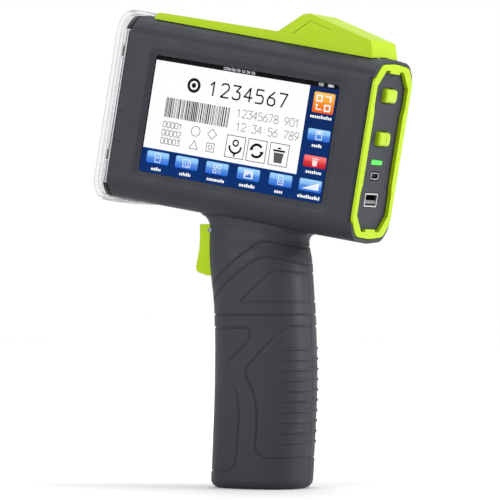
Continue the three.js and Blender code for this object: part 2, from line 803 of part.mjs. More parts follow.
function batteryCell(x) {
  const { radius, length, bottom } = CELL;
  const top = bottom + length;
  const profile = [
    [0, bottom],
    [radius - 0.6, bottom],
    [radius, bottom + 0.6],
    [radius, top - 1.6],
    [radius - 1, top - 1],
    [3, top - 1],
    [3, top],
    [0, top],
  ];
  const cell = new THREE.LatheGeometry(profile.map(([r, z]) => new THREE.Vector2(r, z)), 20);
  return toSolid(cell.rotateX(Math.PI / 2)).translate(x, 0, 0);
}

function basePlate() {
  const { x, y, counterbore } = BASE_SCREW;
  const closing = ovalPlate(17.3, 12.3, 0, 2);
  return cut(closing, bar(SCREW.hole, 'z', -1, 3, [x, y], 12), bar(2.7, 'z', -1, counterbore, [x, y], 16));
}

/** A cross-head screw along +Y with the top of its head at y = 0. */
function crossHeadScrew(length, headHeight) {
  const { head, shank } = SCREW;
  const profile = [
    [0, -length],
    [shank, -length],
    [shank, -headHeight],
    [head, -headHeight],
    [head, -headHeight * 0.35],
    [head - 0.7, 0],
    [0, 0],
  ];
  const screw = new THREE.LatheGeometry(profile.map(([r, h]) => new THREE.Vector2(r, h)), 12);
  const depth = headHeight * 0.55;
  const slot = join(
    block([-1.5, 1.5], [-depth, 1], [-0.3, 0.3]),
    block([-0.3, 0.3], [-depth, 1], [-1.5, 1.5]),
  );
  return cut(toSolid(screw), slot);
}

function casingScrew(x, z) {
  return crossHeadScrew(SCREW.length, 1.7).translate(x, SCREW.top, z);
}

/** The screw that holds the base plate, driven from below. */
function basePlateScrew() {
  return crossHeadScrew(6, 0.8).rotate([-90, 0, 0]).translate(BASE_SCREW.x, BASE_SCREW.y, 0.2);
}

// ---------------------------------------------------------------- materials

function finish(color, roughness, metalness = 0) {
  return new THREE.MeshStandardMaterial({ color, roughness, metalness });
}

const casingPlastic = finish(0x4f4e53, 0.55);
const greenPlastic = finish(0xb0d230, 0.4);
const blackPlastic = finish(0x1c1c1f, 0.5);
const steel = finish(0xb4b6b8, 0.35, 1);
const roller = finish(0x8e8f91, 0.6);
const liner = finish(0xd8d9da, 0.4);
const board = finish(0x1d6b3c, 0.5);
const lampGreen = finish(0x3cf03c, 0.3);
const screenGlass = finish(0x0b1222, 0.1);
const cellWrap = finish(0x2b6cb0, 0.5);
const screwSteel = finish(0x33343a, 0.4, 1);
const clearPlastic = finish(0xf2f5f7, 0.08);
clearPlastic.transparent = true;
clearPlastic.opacity = 0.3;

// ---------------------------------------------------------------- assembly

const printer = new THREE.Group();
const head = new THREE.Group();
head.rotation.y = HEAD_TILT;
head.position.copy(HEAD_CENTRE);
printer.add(head);

function place(group, name, solid, material) {
  const mesh = new THREE.Mesh(toGeometry(solid), material);
  mesh.name = name;
  group.add(mesh);
  return mesh;
}

place(printer, 'screen_side_casing', nearHalf, casingPlastic);
place(printer, 'far_side_casing', farHalf, casingPlastic);

place(head, 'cartridge_lid', cartridgeLid(), greenPlastic);
place(head, 'lid_hinge_pin', bar(LID_HINGE.pin, 'y', -11.1, 11.1, [LID_HINGE.x, LID_HINGE.z], 16), steel);
place(head, 'print_end_cap', printEndCap(), clearPlastic);
place(head, 'front_frame', frontFrame(), blackPlastic);
place(head, 'front_liner', frontPlate(-65, -64.3, false), liner);
place(head, 'nozzle_guide_plate', frontPlate(-66.2, -65.3, true), steel);
for (const [sideName, side] of [['near', -1], ['far', 1]]) {
  for (const [levelName, z] of [['upper', ROLLER.upper], ['lower', ROLLER.lower]]) {
    const mesh = place(head, `guide_roller_${sideName}_${levelName}`, guideRoller(), roller);
    mesh.position.set(ROLLER.x, side * ROLLER.y, z);
  }
}

place(head, 'ink_cartridge', inkCartridge(), blackPlastic);
place(head, 'cartridge_nozzle_plate', block([-65.7, -65.3], [-2.5, 4.5], [-22.5, -6.5]), steel);
place(head, 'cartridge_cradle', cartridgeCradle(), blackPlastic);
place(head, 'contact_board', contactBoard(), board);

place(head, 'end_trim_ring', trimRing(), greenPlastic);
place(head, 'end_panel', endPanel(), casingPlastic);
place(head, 'upper_button', pushButton(BUTTON.upper), greenPlastic);
place(head, 'lower_button', pushButton(BUTTON.lower), greenPlastic);
place(head, 'upper_button_switch', tactSwitch(BUTTON.upper), blackPlastic);
place(head, 'lower_button_switch', tactSwitch(BUTTON.lower), blackPlastic);
place(head, 'status_lamp', statusLamp(), lampGreen);
place(head, 'usb_c_socket', socket(USB_C, 1.6, 0.35, 0.7, USB_C.z), steel);
place(head, 'usb_a_socket', socket(USB_A, 0.4, 0.5, 1.8, USB_A.z + 1.2), steel);
place(head, 'port_board', block([PORT_BOARD.rear, PORT_BOARD.front], [-15, 15], [-30, 33]), board);

place(head, 'touch_glass', touchGlass(), screenGlass);
place(head, 'lcd_module', plate(105, 66.4, 0.6, -18.1, -15.3), steel);
place(head, 'main_board', mainBoard(), board);

place(printer, 'trigger', trigger(), greenPlastic);
const pinPlace = [TRIGGER_PIVOT.x, TRIGGER_PIVOT.z];
place(printer, 'trigger_pin', bar(TRIGGER_PIVOT.pin, 'y', -10.8, 10.8, pinPlace, 16), steel);
place(printer, 'trigger_spring', triggerSpring(), steel);
place(printer, 'trigger_switch', triggerSwitch(), blackPlastic);
place(printer, 'battery_holder', batteryHolder(), blackPlastic);
place(printer, 'battery_cell_front', batteryCell(-7.3), cellWrap);
place(printer, 'battery_cell_rear', batteryCell(11.6), cellWrap);
place(printer, 'base_plate', basePlate(), casingPlastic);
place(printer, 'base_plate_screw', basePlateScrew(), screwSteel);

for (const [name, x, z] of HEAD_SCREWS) {
  place(head, name, casingScrew(x, z), screwSteel);
}
for (const [name, x, z] of HANDLE_SCREWS) {
  place(printer, name, casingScrew(x, z), screwSteel);
}

export default printer;
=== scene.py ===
"""A handheld date code inkjet printer: the finished look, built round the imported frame."""
import math
import random

import bmesh
import bpy
import numpy as np
from mathutils import Matrix, Vector


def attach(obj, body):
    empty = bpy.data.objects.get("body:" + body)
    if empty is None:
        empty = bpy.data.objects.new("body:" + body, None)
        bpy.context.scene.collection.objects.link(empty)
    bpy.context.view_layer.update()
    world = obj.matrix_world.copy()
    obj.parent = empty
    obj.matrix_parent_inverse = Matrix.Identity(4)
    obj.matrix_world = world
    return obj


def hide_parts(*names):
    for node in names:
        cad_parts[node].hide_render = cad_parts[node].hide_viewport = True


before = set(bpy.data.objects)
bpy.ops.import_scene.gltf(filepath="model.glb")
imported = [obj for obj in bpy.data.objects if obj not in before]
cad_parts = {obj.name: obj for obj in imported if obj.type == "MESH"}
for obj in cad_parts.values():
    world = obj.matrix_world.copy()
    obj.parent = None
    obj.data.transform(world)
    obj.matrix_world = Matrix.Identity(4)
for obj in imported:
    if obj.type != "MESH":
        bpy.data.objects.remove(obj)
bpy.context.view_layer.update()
scene = bpy.context.scene

# ---------------------------------------------------------------- camera


def aimed(obj, target):
    """Turns a camera or lamp so that it looks at a point."""
    obj.rotation_mode = "QUATERNION"
    obj.rotation_quaternion = (Vector(target) - obj.location).to_track_quat("-Z", "Y")
    return obj


camera = bpy.data.objects.new("camera", bpy.data.cameras.new("camera"))
scene.collection.objects.link(camera)
camera.location = (0.6936, -1.4188, 0.1003)
aimed(camera, (-0.0103, 0.008, 0.11195))
camera.data.lens = 241.06
camera.data.sensor_width = 36
camera.data.clip_end = 20
scene.camera = camera

# ---------------------------------------------------------------- shape helpers (millimetres)

MM = 0.001
TILT = math.radians(10)
HEAD = Matrix.Translation((-0.0025, 0, 0.1684)) @ Matrix.Rotation(TILT, 4, "Y")
FLAT = Matrix.Identity(4)


def tidy(points, least=1e-4):
    """Drops points that repeat the one before them."""
    kept = []
    for p in points:
        if not kept or (Vector(p) - Vector(kept[-1])).length > least:
            kept.append(p)
    if (Vector(kept[0]) - Vector(kept[-1])).length < least:
        kept.pop()
    return kept


def rounded(points, distance, steps=6):
    """A closed outline whose corners are rounded by quadratic curves."""
    out = []
    for i, p in enumerate(points):
        corner = Vector(p)
        before, after = Vector(points[i - 1]) - corner, Vector(points[(i + 1) % len(points)]) - corner
        start = corner + before.normalized() * min(distance, before.length / 2)
        end = corner + after.normalized() * min(distance, after.length / 2)
        for k in range(steps + 1):
            f = k / steps
            out.append(tuple(start * (1 - f) ** 2 + corner * 2 * f * (1 - f) + end * f * f))
    return tidy(out)


def rectangle(width, height, distance, u=0, v=0, steps=6):
    w, h = width / 2, height / 2
    return rounded([(u - w, v - h), (u + w, v - h), (u + w, v + h), (u - w, v + h)], distance, steps)


def mirrored(half):
    """Repeats a half outline as its mirror image on the other side."""
    return half + [(-u, v) for u, v in half if u != 0][::-1]


def circle(radius, count=40, u=0, v=0):
    turn = 2 * math.pi / count
    return [(u + radius * math.cos(i * turn), v + radius * math.sin(i * turn)) for i in range(count)]


def made(name, verts, faces, matrix=FLAT):
    """A mesh object from points in millimetres, its faces turned outwards."""
    mesh = bpy.data.meshes.new(name)
    mesh.from_pydata([tuple(v) for v in verts], [], faces)
    mesh.transform(matrix @ Matrix.Scale(MM, 4))
    work = bmesh.new()
    work.from_mesh(mesh)
    bmesh.ops.recalc_face_normals(work, faces=work.faces)
    work.to_mesh(mesh)
    work.free()
    obj = bpy.data.objects.new(name, mesh)
    scene.collection.objects.link(obj)
    return obj


def loft(name, rings, matrix=FLAT):
    """A closed skin over rings of the same number of points."""
    n = len(rings[0])
    verts = [p for ring in rings for p in ring]
    faces = [
        (k * n + i, k * n + (i + 1) % n, (k + 1) * n + (i + 1) % n, (k + 1) * n + i)
        for k in range(len(rings) - 1)
        for i in range(n)
    ]
    last = (len(rings) - 1) * n
    faces += [tuple(range(n))[::-1], tuple(range(last, last + n))]
    return made(name, verts, faces, matrix)


def set_on(axis, outline, at):
    """Places a flat outline at a height along an axis."""
    if axis == "x":
        return [(at, u, v) for u, v in outline]
    if axis == "y":
        return [(u, at, v) for u, v in outline]
    return [(u, v, at) for u, v in outline]


def prism(name, axis, outline, a, b, matrix=FLAT):
    return loft(name, [set_on(axis, outline, a), set_on(axis, outline, b)], matrix)


def block(x, y, z, matrix=FLAT):
    outline = [(y[0], z[0]), (y[1], z[0]), (y[1], z[1]), (y[0], z[1])]
    return prism("block", "x", outline, x[0], x[1], matrix)


def bar(axis, radius, a, b, at, matrix=FLAT, count=40):
    return prism("bar", axis, circle(radius, count, *at), a, b, matrix)


def evaluated(obj):
    graph = bpy.context.evaluated_depsgraph_get()
    mesh = bpy.data.meshes.new_from_object(obj.evaluated_get(graph))
    obj.modifiers.clear()
    obj.data = mesh
    return obj


def combine(target, operation, *others):
    """Cuts, joins or intersects a solid with others, and takes the others away."""
    for other in others:
        step = target.modifiers.new("step", "BOOLEAN")
        step.operation = operation
        step.solver = "MANIFOLD"
        step.object = other
    evaluated(target)
    for other in others:
        bpy.data.objects.remove(other)
    return target


def smooth(obj, angle=35, weighted=True):
    """Smooth shading that keeps real corners crisp."""
    obj.data.shade_smooth()
    obj.data.set_sharp_from_angle(angle=math.radians(angle))
    if weighted:
        step = obj.modifiers.new("normals", "WEIGHTED_NORMAL")
        step.keep_sharp = True
        step.weight = 60
    return obj


def dressed(node, material, bevel=0.3, segments=3, angle=32):
    """Gives a carried-over node clean faces, rounded edges and its material."""
    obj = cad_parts[node]
    weld = obj.modifiers.new("weld", "WELD")
    weld.merge_threshold = 2e-6
    flat = obj.modifiers.new("flat", "DECIMATE")
    flat.decimate_type = "DISSOLVE"
    flat.angle_limit = math.radians(1.0)
    if bevel:
        edge = obj.modifiers.new("edge", "BEVEL")
        edge.width = bevel * MM
        edge.segments = segments
        edge.limit_method = "ANGLE"
        edge.angle_limit = math.radians(angle)
        edge.harden_normals = False
        edge.miter_outer = "MITER_ARC"
    obj.data.shade_smooth()
    obj.data.set_sharp_from_angle(angle=math.radians(angle if not bevel else 180))
    normals = obj.modifiers.new("normals", "WEIGHTED_NORMAL")
    normals.keep_sharp = True
    normals.weight = 60
    obj.data.materials.clear()
    obj.data.materials.append(material)
    return obj


def placed(obj, material, body, slot, *nodes):
    """Hands a new piece its material and the body it rides on, and hides the nodes it stands for; slot is not
    used.
    """
    obj.data.materials.clear()
    obj.data.materials.append(material)
    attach(obj, body)
    if nodes:
        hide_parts(*nodes)
    return obj


# ---------------------------------------------------------------- finishes


def linear(r, g, b):
    """Screen colour (0 to 255) as linear light."""
    def channel(c):
        c /= 255
        return c / 12.92 if c <= 0.04045 else ((c + 0.055) / 1.055) ** 2.4
    return channel(r), channel(g), channel(b), 1.0


DEEPENED = 2.6


def paint(r, g, b):
    """A screen colour made deeper, so that the bright studio doesn't wash it out."""
    return tuple(c / DEEPENED for c in linear(r, g, b)[:3]) + (1.0,)


def scaled(colour, k):
    return tuple(min(1.0, c * k) for c in colour[:3]) + (1.0,)


class Finish:
    """One procedural material, built node by node."""

    def __init__(self, name, roughness=0.5, **fixed):
        self.material = bpy.data.materials.new(name)
        self.material.use_nodes = True
        self.tree = self.material.node_tree
        self.shader = self.tree.nodes["Principled BSDF"]
        self.shader.inputs["Roughness"].default_value = roughness
        for key, value in fixed.items():
            self.shader.inputs[key.replace("_", " ")].default_value = value
        self.place = self.add("ShaderNodeTexCoord").outputs["Object"]

    def add(self, kind, **properties):
        node = self.tree.nodes.new(kind)
        for key, value in properties.items():
            setattr(node, key, value)
        return node

    def link(self, a, b):
        self.tree.links.new(a, b)

    def stretched(self, x, y, z):
        """Object coordinates scaled along each axis."""
        node = self.add("ShaderNodeMapping")
        node.inputs["Scale"].default_value = (x, y, z)
        self.link(self.place, node.inputs["Vector"])
        return node.outputs["Vector"]

    def noise(self, scale, detail=3.0, place=None):
        node = self.add("ShaderNodeTexNoise")
        node.inputs["Scale"].default_value = scale
        node.inputs["Detail"].default_value = detail
        self.link(place or self.place, node.inputs["Vector"])
        return node.outputs["Fac"]

    def span(self, value, low, high, to_low=0.0, to_high=1.0):
        node = self.add("ShaderNodeMapRange")
        self.link(value, node.inputs["Value"])
        for key, number in (("From Min", low), ("From Max", high), ("To Min", to_low), ("To Max", to_high)):
            node.inputs[key].default_value = number
        return node.outputs["Result"]

    def math(self, operation, a, b=None):
        node = self.add("ShaderNodeMath", operation=operation)
        for socket, value in zip(node.inputs, (a, b)):
            if value is None:
                continue
            if isinstance(value, (int, float)):
                socket.default_value = value
            else:
                self.link(value, socket)
        return node.outputs[0]

    def mix(self, factor, a, b):
        node = self.add("ShaderNodeMix", data_type="RGBA")
        self.link(factor, node.inputs["Factor"])
        for key, value in ((6, a), (7, b)):
            if isinstance(value, tuple):
                node.inputs[key].default_value = value
            else:
                self.link(value, node.inputs[key])
        return node.outputs[2]

    def edges(self, radius=0.5, low=0.02, high=0.22, samples=4):
        """1 near outer and inner edges and 0 on open faces."""
        bevel = self.add("ShaderNodeBevel", samples=samples)
        bevel.inputs["Radius"].default_value = radius * MM
        geometry = self.add("ShaderNodeNewGeometry")
        dot = self.add("ShaderNodeVectorMath", operation="DOT_PRODUCT")
        self.link(bevel.outputs["Normal"], dot.inputs[0])
        self.link(geometry.outputs["Normal"], dot.inputs[1])
        turned = self.math("SUBTRACT", 1.0, dot.outputs["Value"])
        return self.span(turned, low, high)

    def colour(self, value):
        self.link(value, self.shader.inputs["Base Color"])

    def roughness(self, value):
        self.link(value, self.shader.inputs["Roughness"])

    def bump(self, height, strength=0.3, distance=0.05, after=None):
        node = self.add("ShaderNodeBump")
        node.inputs["Strength"].default_value = strength
        node.inputs["Distance"].default_value = distance * MM
        self.link(height, node.inputs["Height"])
        if after is not None:
            self.link(after, node.inputs["Normal"])
        self.link(node.outputs["Normal"], self.shader.inputs["Normal"])
        return node.outputs["Normal"]


GRAIN_SCALE = 2600


def moulded(name, colour, roughness=0.45, vary=0.05, grain=0.25, wear=0.35, worn=1.5, **fixed):
    """Moulded plastic: slight blotches, fine spark-eroded grain and paler worn edges."""
    f = Finish(name, roughness, **fixed)
    blotch = f.noise(38, 4)
    base = f.mix(f.span(blotch, 0.3, 0.7), scaled(colour, 1 - vary), scaled(colour, 1 + vary))
    worn_place = f.math("MULTIPLY", f.edges(0.45), f.span(f.noise(420, 3), 0.35, 0.75, 0.0, wear))
    f.colour(f.mix(worn_place, base, scaled(colour, worn)))
    rubbed = f.span(f.noise(90, 5), 0.3, 0.7, roughness - 0.06, roughness + 0.07)
    f.roughness(rubbed)
    f.bump(f.noise(GRAIN_SCALE, 2), grain, 0.04)
    return f.material


def metal(name, colour, roughness=0.3, brushed=(40, 40, 1800), scratch=0.15):
    """Drawn or rolled metal with fine lines along one direction."""
    f = Finish(name, roughness, Metallic=1.0)
    lines = f.noise(1.0, 3, f.stretched(*brushed))
    blotch = f.noise(60, 3)
    tone = f.mix(f.span(blotch, 0.3, 0.7), scaled(colour, 0.88), scaled(colour, 1.06))
    f.colour(f.mix(f.math("MULTIPLY", f.edges(0.25), 0.5), tone, scaled(colour, 1.25)))
    f.roughness(f.span(lines, 0.3, 0.7, roughness - 0.08, roughness + 0.1))
    f.bump(lines, scratch, 0.02)
    return f.material


def board(name, colour, copper):
    """Circuit board: solder mask over faint copper tracks."""
    f = Finish(name, 0.35, Coat_Weight=0.3)
    bricks = f.add("ShaderNodeTexBrick")
    f.link(f.place, bricks.inputs["Vector"])
    bricks.inputs["Scale"].default_value = 260
    bricks.inputs["Mortar Size"].default_value = 0.06
    tracks = f.math("MULTIPLY", bricks.outputs["Fac"], f.span(f.noise(140, 2), 0.45, 0.5))
    f.colour(f.mix(tracks, f.mix(f.noise(70), scaled(colour, 0.9), scaled(colour, 1.1)), copper))
    f.roughness(f.span(f.noise(200), 0.3, 0.7, 0.28, 0.45))
    f.bump(tracks, 0.4, 0.03)
    return f.material


BODY = linear(41, 42, 48)
GREEN = linear(143, 168, 6)

casing_plastic = moulded("casing_plastic", BODY, 0.5, vary=0.035, grain=0.22, wear=0.25, worn=1.35,
                         Specular_IOR_Level=0.15)
panel_plastic = moulded("panel_plastic", BODY, 0.55, vary=0.04, grain=0.3, wear=0.2, worn=1.4,
                        Specular_IOR_Level=0.15)
green_plastic = moulded("green_plastic", GREEN, 0.42, vary=0.03, grain=0.12, wear=0.3, worn=1.25,
                        Specular_IOR_Level=0.12)
button_plastic = moulded("button_plastic", GREEN, 0.36, vary=0.04, grain=0.08, wear=0.35, worn=1.3,
                         Specular_IOR_Level=0.2)
black_plastic = moulded("black_plastic", paint(30, 30, 33), 0.42, vary=0.08, grain=0.3, wear=0.3,
                        worn=2.0, Specular_IOR_Level=0.3)
inner_plastic = moulded("inner_plastic", paint(52, 52, 56), 0.5, vary=0.08, grain=0.35, wear=0.3,
                        worn=1.8, Specular_IOR_Level=0.3)
roller_plastic = moulded("roller_plastic", paint(118, 119, 123), 0.35, grain=0.2, wear=0.4, worn=0.8)
sleeve = moulded("cell_sleeve", paint(52, 96, 168), 0.3, vary=0.05, grain=0.1, wear=0.2)
liner_film = moulded("liner_film", paint(222, 224, 226), 0.4, vary=0.04, grain=0.15, wear=0.2, worn=0.85)
cartridge_plastic = moulded("cartridge_plastic", paint(44, 46, 52), 0.36, vary=0.06, grain=0.2, wear=0.3,
                            worn=1.9)
steel = metal("steel", linear(176, 178, 182), 0.28)
screw_steel = metal("screw_steel", linear(96, 98, 104), 0.34, (300, 300, 300))
nozzle_metal = metal("nozzle_metal", linear(140, 142, 146), 0.36, (30, 1600, 30))
circuit_board = board("circuit_board", paint(20, 84, 52), paint(60, 130, 80))


def clear_plastic_finish():
    """Clear moulded plastic: see-through face on, with painted shade that makes it grey along its edges and where
    it turns away, in place of the light bent and reflected in its walls.
    """
    f = Finish("clear_plastic", 0.1, IOR=1.46, Specular_IOR_Level=0.5)
    weight = f.add("ShaderNodeLayerWeight")
    weight.inputs["Blend"].default_value = 0.5
    turned = f.span(weight.outputs["Facing"], 0.52, 0.88)
    rim = f.math("MULTIPLY", f.edges(0.7, 0.0, 0.06, 12), 0.55)
    shade = f.math("MAXIMUM", turned, rim)
    tint = f.mix(f.span(f.noise(60), 0.3, 0.7), linear(104, 107, 112), linear(112, 115, 120))
    # Painted shade: the colour turns dark grey along the edges and where the surface turns away.
    f.colour(f.mix(shade, tint, linear(60, 62, 68)))
    rubbed = f.span(f.noise(300, 5), 0.5, 0.8, 0.0, 0.025)
    f.link(f.math("ADD", f.span(shade, 0.0, 1.0, 0.05, 0.85), rubbed), f.shader.inputs["Alpha"])
    f.roughness(f.span(f.noise(150, 4), 0.35, 0.75, 0.06, 0.14))
    f.bump(f.noise(220, 2), 0.03, 0.05)
    return f.material


clear_plastic = clear_plastic_finish()


def lamp_finish():
    f = Finish("lamp_plastic", 0.3, Emission_Strength=0.85)
    glow = f.mix(f.span(f.noise(700, 2), 0.3, 0.7), linear(34, 214, 40), linear(70, 250, 78))
    f.colour(f.mix(f.span(f.noise(900), 0.3, 0.7, 0.1, 0.16), (0, 0, 0, 1), glow))
    f.link(glow, f.shader.inputs["Emission Color"])
    f.bump(f.noise(1800), 0.1, 0.03)
    return f.material


def glass_finish():
    f = Finish("screen_glass", 0.06, Coat_Weight=1.0, Coat_Roughness=0.03)
    f.colour(f.mix(f.noise(40), linear(5, 6, 9), linear(11, 12, 16)))
    f.roughness(f.span(f.noise(120, 5), 0.35, 0.7, 0.04, 0.11))
    f.bump(f.noise(300, 2), 0.02, 0.02)
    return f.material


def display_finish():
    """The lit picture: each plate's own colour, under a faint grid of display cells."""
    f = Finish("display", 0.12, Specular_IOR_Level=0.06, Emission_Strength=0.9)
    shown = f.add("ShaderNodeVertexColor", layer_name="picture").outputs["Color"]
    cells = f.add("ShaderNodeTexChecker")
    f.link(f.place, cells.inputs["Vector"])
    cells.inputs["Scale"].default_value = 7000
    level = f.span(cells.outputs["Fac"], 0.0, 1.0, 0.97, 1.0)
    lit = f.mix(level, (0, 0, 0, 1), shown)
    f.link(lit, f.shader.inputs["Emission Color"])
    f.colour(f.mix(f.span(f.noise(500), 0.3, 0.7, 0.05, 0.07), (0, 0, 0, 1), shown))
    f.roughness(f.span(f.noise(160), 0.3, 0.7, 0.1, 0.16))
    return f.material


lamp_plastic, screen_glass, display = lamp_finish(), glass_finish(), display_finish()

# ---------------------------------------------------------------- head outline

FRONT, REAR, HALF, WALL = -64, 65.4, 22, 2.2
BOTTOM, TOP, RISE = -43.3, 44.1, 1.1
BEVEL_HALF, BEVEL_TOP, BEVEL_BOTTOM, CROWN = 15.5, 36.6, -36, 1
ROLLER_UPPER, ROLLER_LOWER = 27.1, -22.7
RING_HALF, RING_REAR = 21.2, 64.5


def head_section(x, inset=0, corner=3.4):
    """The head's outline in y and z at a distance along it; the top falls towards the rear."""
    s = inset * 0.42
    ring = rounded(mirrored([
        (0, BOTTOM + inset), (BEVEL_HALF - s, BOTTOM + CROWN + inset), (HALF - inset, BEVEL_BOTTOM + s),
        (HALF - inset, BEVEL_TOP - s), (BEVEL_HALF - s, TOP - CROWN - inset), (0, TOP - inset),
    ]), corner, 8)
    return [(x, y, z + (RISE * (0.7 - x) / 64.7 if z > 0 else 0)) for y, z in ring]


def head_loft(stations, matrix=HEAD):
    return loft("head", [head_section(x, inset) for x, inset in stations], matrix)


def trim_outline(grow=0.0, steps=6):
    return rounded(mirrored([
        (0, -40.9 - grow), (BEVEL_HALF - 0.5, -39.9 - grow), (RING_HALF + grow, -33),
        (RING_HALF + grow, 33.2), (BEVEL_HALF - 0.5, 40.1 + grow), (0, 41.1 + grow),
    ]), 3, steps)


# ---------------------------------------------------------------- handle outline and its relief

HANDLE_HALF, EXPONENT, BASE_ROUND, FILLET, HANDLE_WALL = 18.5, 2.6, 4, 4.5, 2.4
NECK_IN, NECK_FROM, NECK_TO = 3.5, 106, 121
TURN_FROM, TURN_OVER, ROW_STEP, COLUMNS = 104, 15.5, 0.33, 196
SEAM = 0.15
STATIONS = np.array([
    (0, -0.2, 23.8), (20, 0.9, 24.1), (50, 2.1, 24.2), (70, 2, 23.9),
    (88, 1.2, 23.7), (100, 0.1, 24), (112, -0.9, 24.1), (128, -1.8, 24.2),
])
UNDERSIDE = 168.4 + (BOTTOM - 2.5 * math.sin(TILT)) / math.cos(TILT)


def station(column, z):
    """A smooth curve through the stations, read at any heights."""
    heights, values = STATIONS[:, 0], STATIONS[:, column]
    slopes = np.gradient(values, heights)
    z = np.clip(z, heights[0], heights[-1])
    i = np.clip(np.searchsorted(heights, z, "right") - 1, 0, len(heights) - 2)
    h = heights[i + 1] - heights[i]
    t = (z - heights[i]) / h
    low, high = values[i], values[i + 1]
    return (low * (1 + 2 * t) * (1 - t) ** 2 + slopes[i] * h * t * (1 - t) ** 2
            + high * t * t * (3 - 2 * t) + slopes[i + 1] * h * t * t * (t - 1))


def power(value, exponent):
    return np.sign(value) * np.abs(value) ** exponent


# Half of the ring, from the rear seam round one side to the front seam, at even distances.
fine = np.linspace(0, math.pi, 6001)
fine_x = 24.1 * power(np.cos(fine), 2 / EXPONENT)
fine_y = HANDLE_HALF * power(np.sin(fine), 2 / EXPONENT)
fine_s = np.concatenate([[0], np.cumsum(np.hypot(np.diff(fine_x), np.diff(fine_y)))])


def around(distance):
    """The ring angle at a distance from the rear seam."""
    return np.interp(distance, fine_s, fine)


def away(s, z, path, closed=False):
    """Distance of each point from a path of straight runs."""
    best = np.full(s.shape, 1e9)
    points = path + path[:1] if closed else path
    for (s0, z0), (s1, z1) in zip(points, points[1:]):
        ds, dz = s1 - s0, z1 - z0
        length = ds * ds + dz * dz
        if length < 1e-12:
            continue
        t = np.clip(((s - s0) * ds + (z - z0) * dz) / length, 0, 1)
        best = np.minimum(best, np.hypot(s - s0 - t * ds, z - z0 - t * dz))
    return best


def within(s, z, path):
    """1 inside a closed path and 0 outside."""
    inside = np.zeros(s.shape, bool)
    for (s0, z0), (s1, z1) in zip(path, path[1:] + path[:1]):
        if z0 == z1:
            continue
        crosses = ((z0 > z) != (z1 > z)) & (s < (s1 - s0) * (z - z0) / (z1 - z0) + s0)
        inside ^= crosses
    return inside


def softened(path, rounds=2):
    """Rounds a path's corners by cutting them, keeping its ends."""
    for _ in range(rounds):
        cut = [path[0]]
        for (a, b), (c, d) in zip(path, path[1:]):
            cut += [(a * 0.75 + c * 0.25, b * 0.75 + d * 0.25), (a * 0.25 + c * 0.75, b * 0.25 + d * 0.75)]
        path = cut + [path[-1]]
    return path


ROUND = float(fine_s[-1])
REAR_SEAM, FRONT_SEAM = -3, ROUND + 3
BAND_SLOPE = 0.8


def band(*points):
    """A groove from the rear seam over the side, running down to the front seam."""
    s_end, z_end = points[-1]
    return [(-2, points[0][1]), *points, (ROUND + 1, z_end - (ROUND + 1 - s_end) * BAND_SLOPE)]


# Outlines on the grip: distance round it from the rear seam, and height.
upper_band = band(
    (0, 112.5), (9, 113.5), (18, 114.5), (24, 116), (26.5, 116), (29, 115), (33, 112), (55, 96.5))
lower_band = band((0, 104.5), (9.5, 106), (17, 107.5), (23, 108.5), (27, 108), (30, 107), (57.5, 88.5))
wedge = [
    (REAR_SEAM, 100.5), (9, 101), (17.5, 102), (20.5, 102), (38, 88.5), (38.5, 87.5), (REAR_SEAM, 87.5),
]
front_pad = [(FRONT_SEAM, 75.5), *softened([
    (37, 75.5), (34.5, 74), (34.5, 71), (36, 68.5), (46.5, 59.5), (47.5, 57), (47, 55), (42.5, 47),
    (40.5, 40), (40, 34), (40, 25.5), (40.5, 14), (41.5, 10), (45, 8),
], 1), (FRONT_SEAM, 8)]
rear_pad = [(REAR_SEAM, 76), *softened([
    (14.5, 76), (19.5, 73.5), (36, 57.5), (37, 55.5), (36.5, 52.5), (33.5, 47), (31, 40), (30.5, 31),
    (30.5, 24.5), (31, 21), (30, 18), (28, 15.5), (25.5, 14.5),
], 1), (REAR_SEAM, 14.5)]
BELT_HEIGHT, PAD_DROP = 81.4, 0.14
RIB_TOP, RIB_PITCH, RIB_COUNT = 65.6, 4.85, 10
RIB_REACH, RIB_FADE, RIB_HEIGHT, RIB_HALF = 19.5, 2.2, 0.52, 0.62


def relief(s, z):
    """How far the grip's surface stands out at each point, in millimetres."""
    def groove(distance, width=0.42, depth=0.5):
        return -depth * np.exp(-((distance / width) ** 4))
    height = np.zeros(s.shape)
    lines = np.minimum(away(s, z, softened(upper_band)), away(s, z, softened(lower_band)))
    lines = np.minimum(lines, away(s, z, wedge, True))
    lines = np.minimum(lines, np.abs(z - BELT_HEIGHT))
    lines = np.minimum(lines, away(s, z, front_pad, True))
    lines = np.minimum(lines, away(s, z, rear_pad, True))
    height += groove(lines)
    for pad in (front_pad, rear_pad, wedge):
        inside = within(s, z, pad)
        height -= PAD_DROP * inside * np.clip(away(s, z, pad, True) / 0.5, 0, 1)
    reach = np.clip((RIB_REACH - s) / RIB_FADE, 0, 1)
    reach = reach * reach * (3 - 2 * reach)
    for k in range(RIB_COUNT):
        rib = RIB_TOP - RIB_PITCH * k
        height += RIB_HEIGHT * reach * np.exp(-(((z - rib) / RIB_HALF) ** 4))
    return height


def handle_rows():
    """Each row's height, growth and tilt, from the flat base to inside the head."""
    rows = []
    for part in np.linspace(0, 1, 9)[:-1]:
        d = BASE_ROUND * (1 - math.cos(part * math.pi / 2))
        rows.append((d, -(BASE_ROUND - math.sqrt(BASE_ROUND ** 2 - (BASE_ROUND - d) ** 2)), 0.0))
    for z in np.arange(BASE_ROUND, UNDERSIDE - FILLET, ROW_STEP):
        turn = min(max((z - TURN_FROM) / TURN_OVER, 0), 1)
        rows.append((z, 0.0, TILT * turn * turn * (3 - 2 * turn)))
    for k in range(10):
        depth = FILLET * (1 - math.sin(k / 10 * math.pi / 2))
        rows.append((UNDERSIDE - depth, FILLET - math.sqrt(FILLET ** 2 - (FILLET - depth) ** 2), TILT))
    rows += [(UNDERSIDE + 0.6, FILLET, TILT), (UNDERSIDE + 6.5, FILLET, TILT)]
    return rows


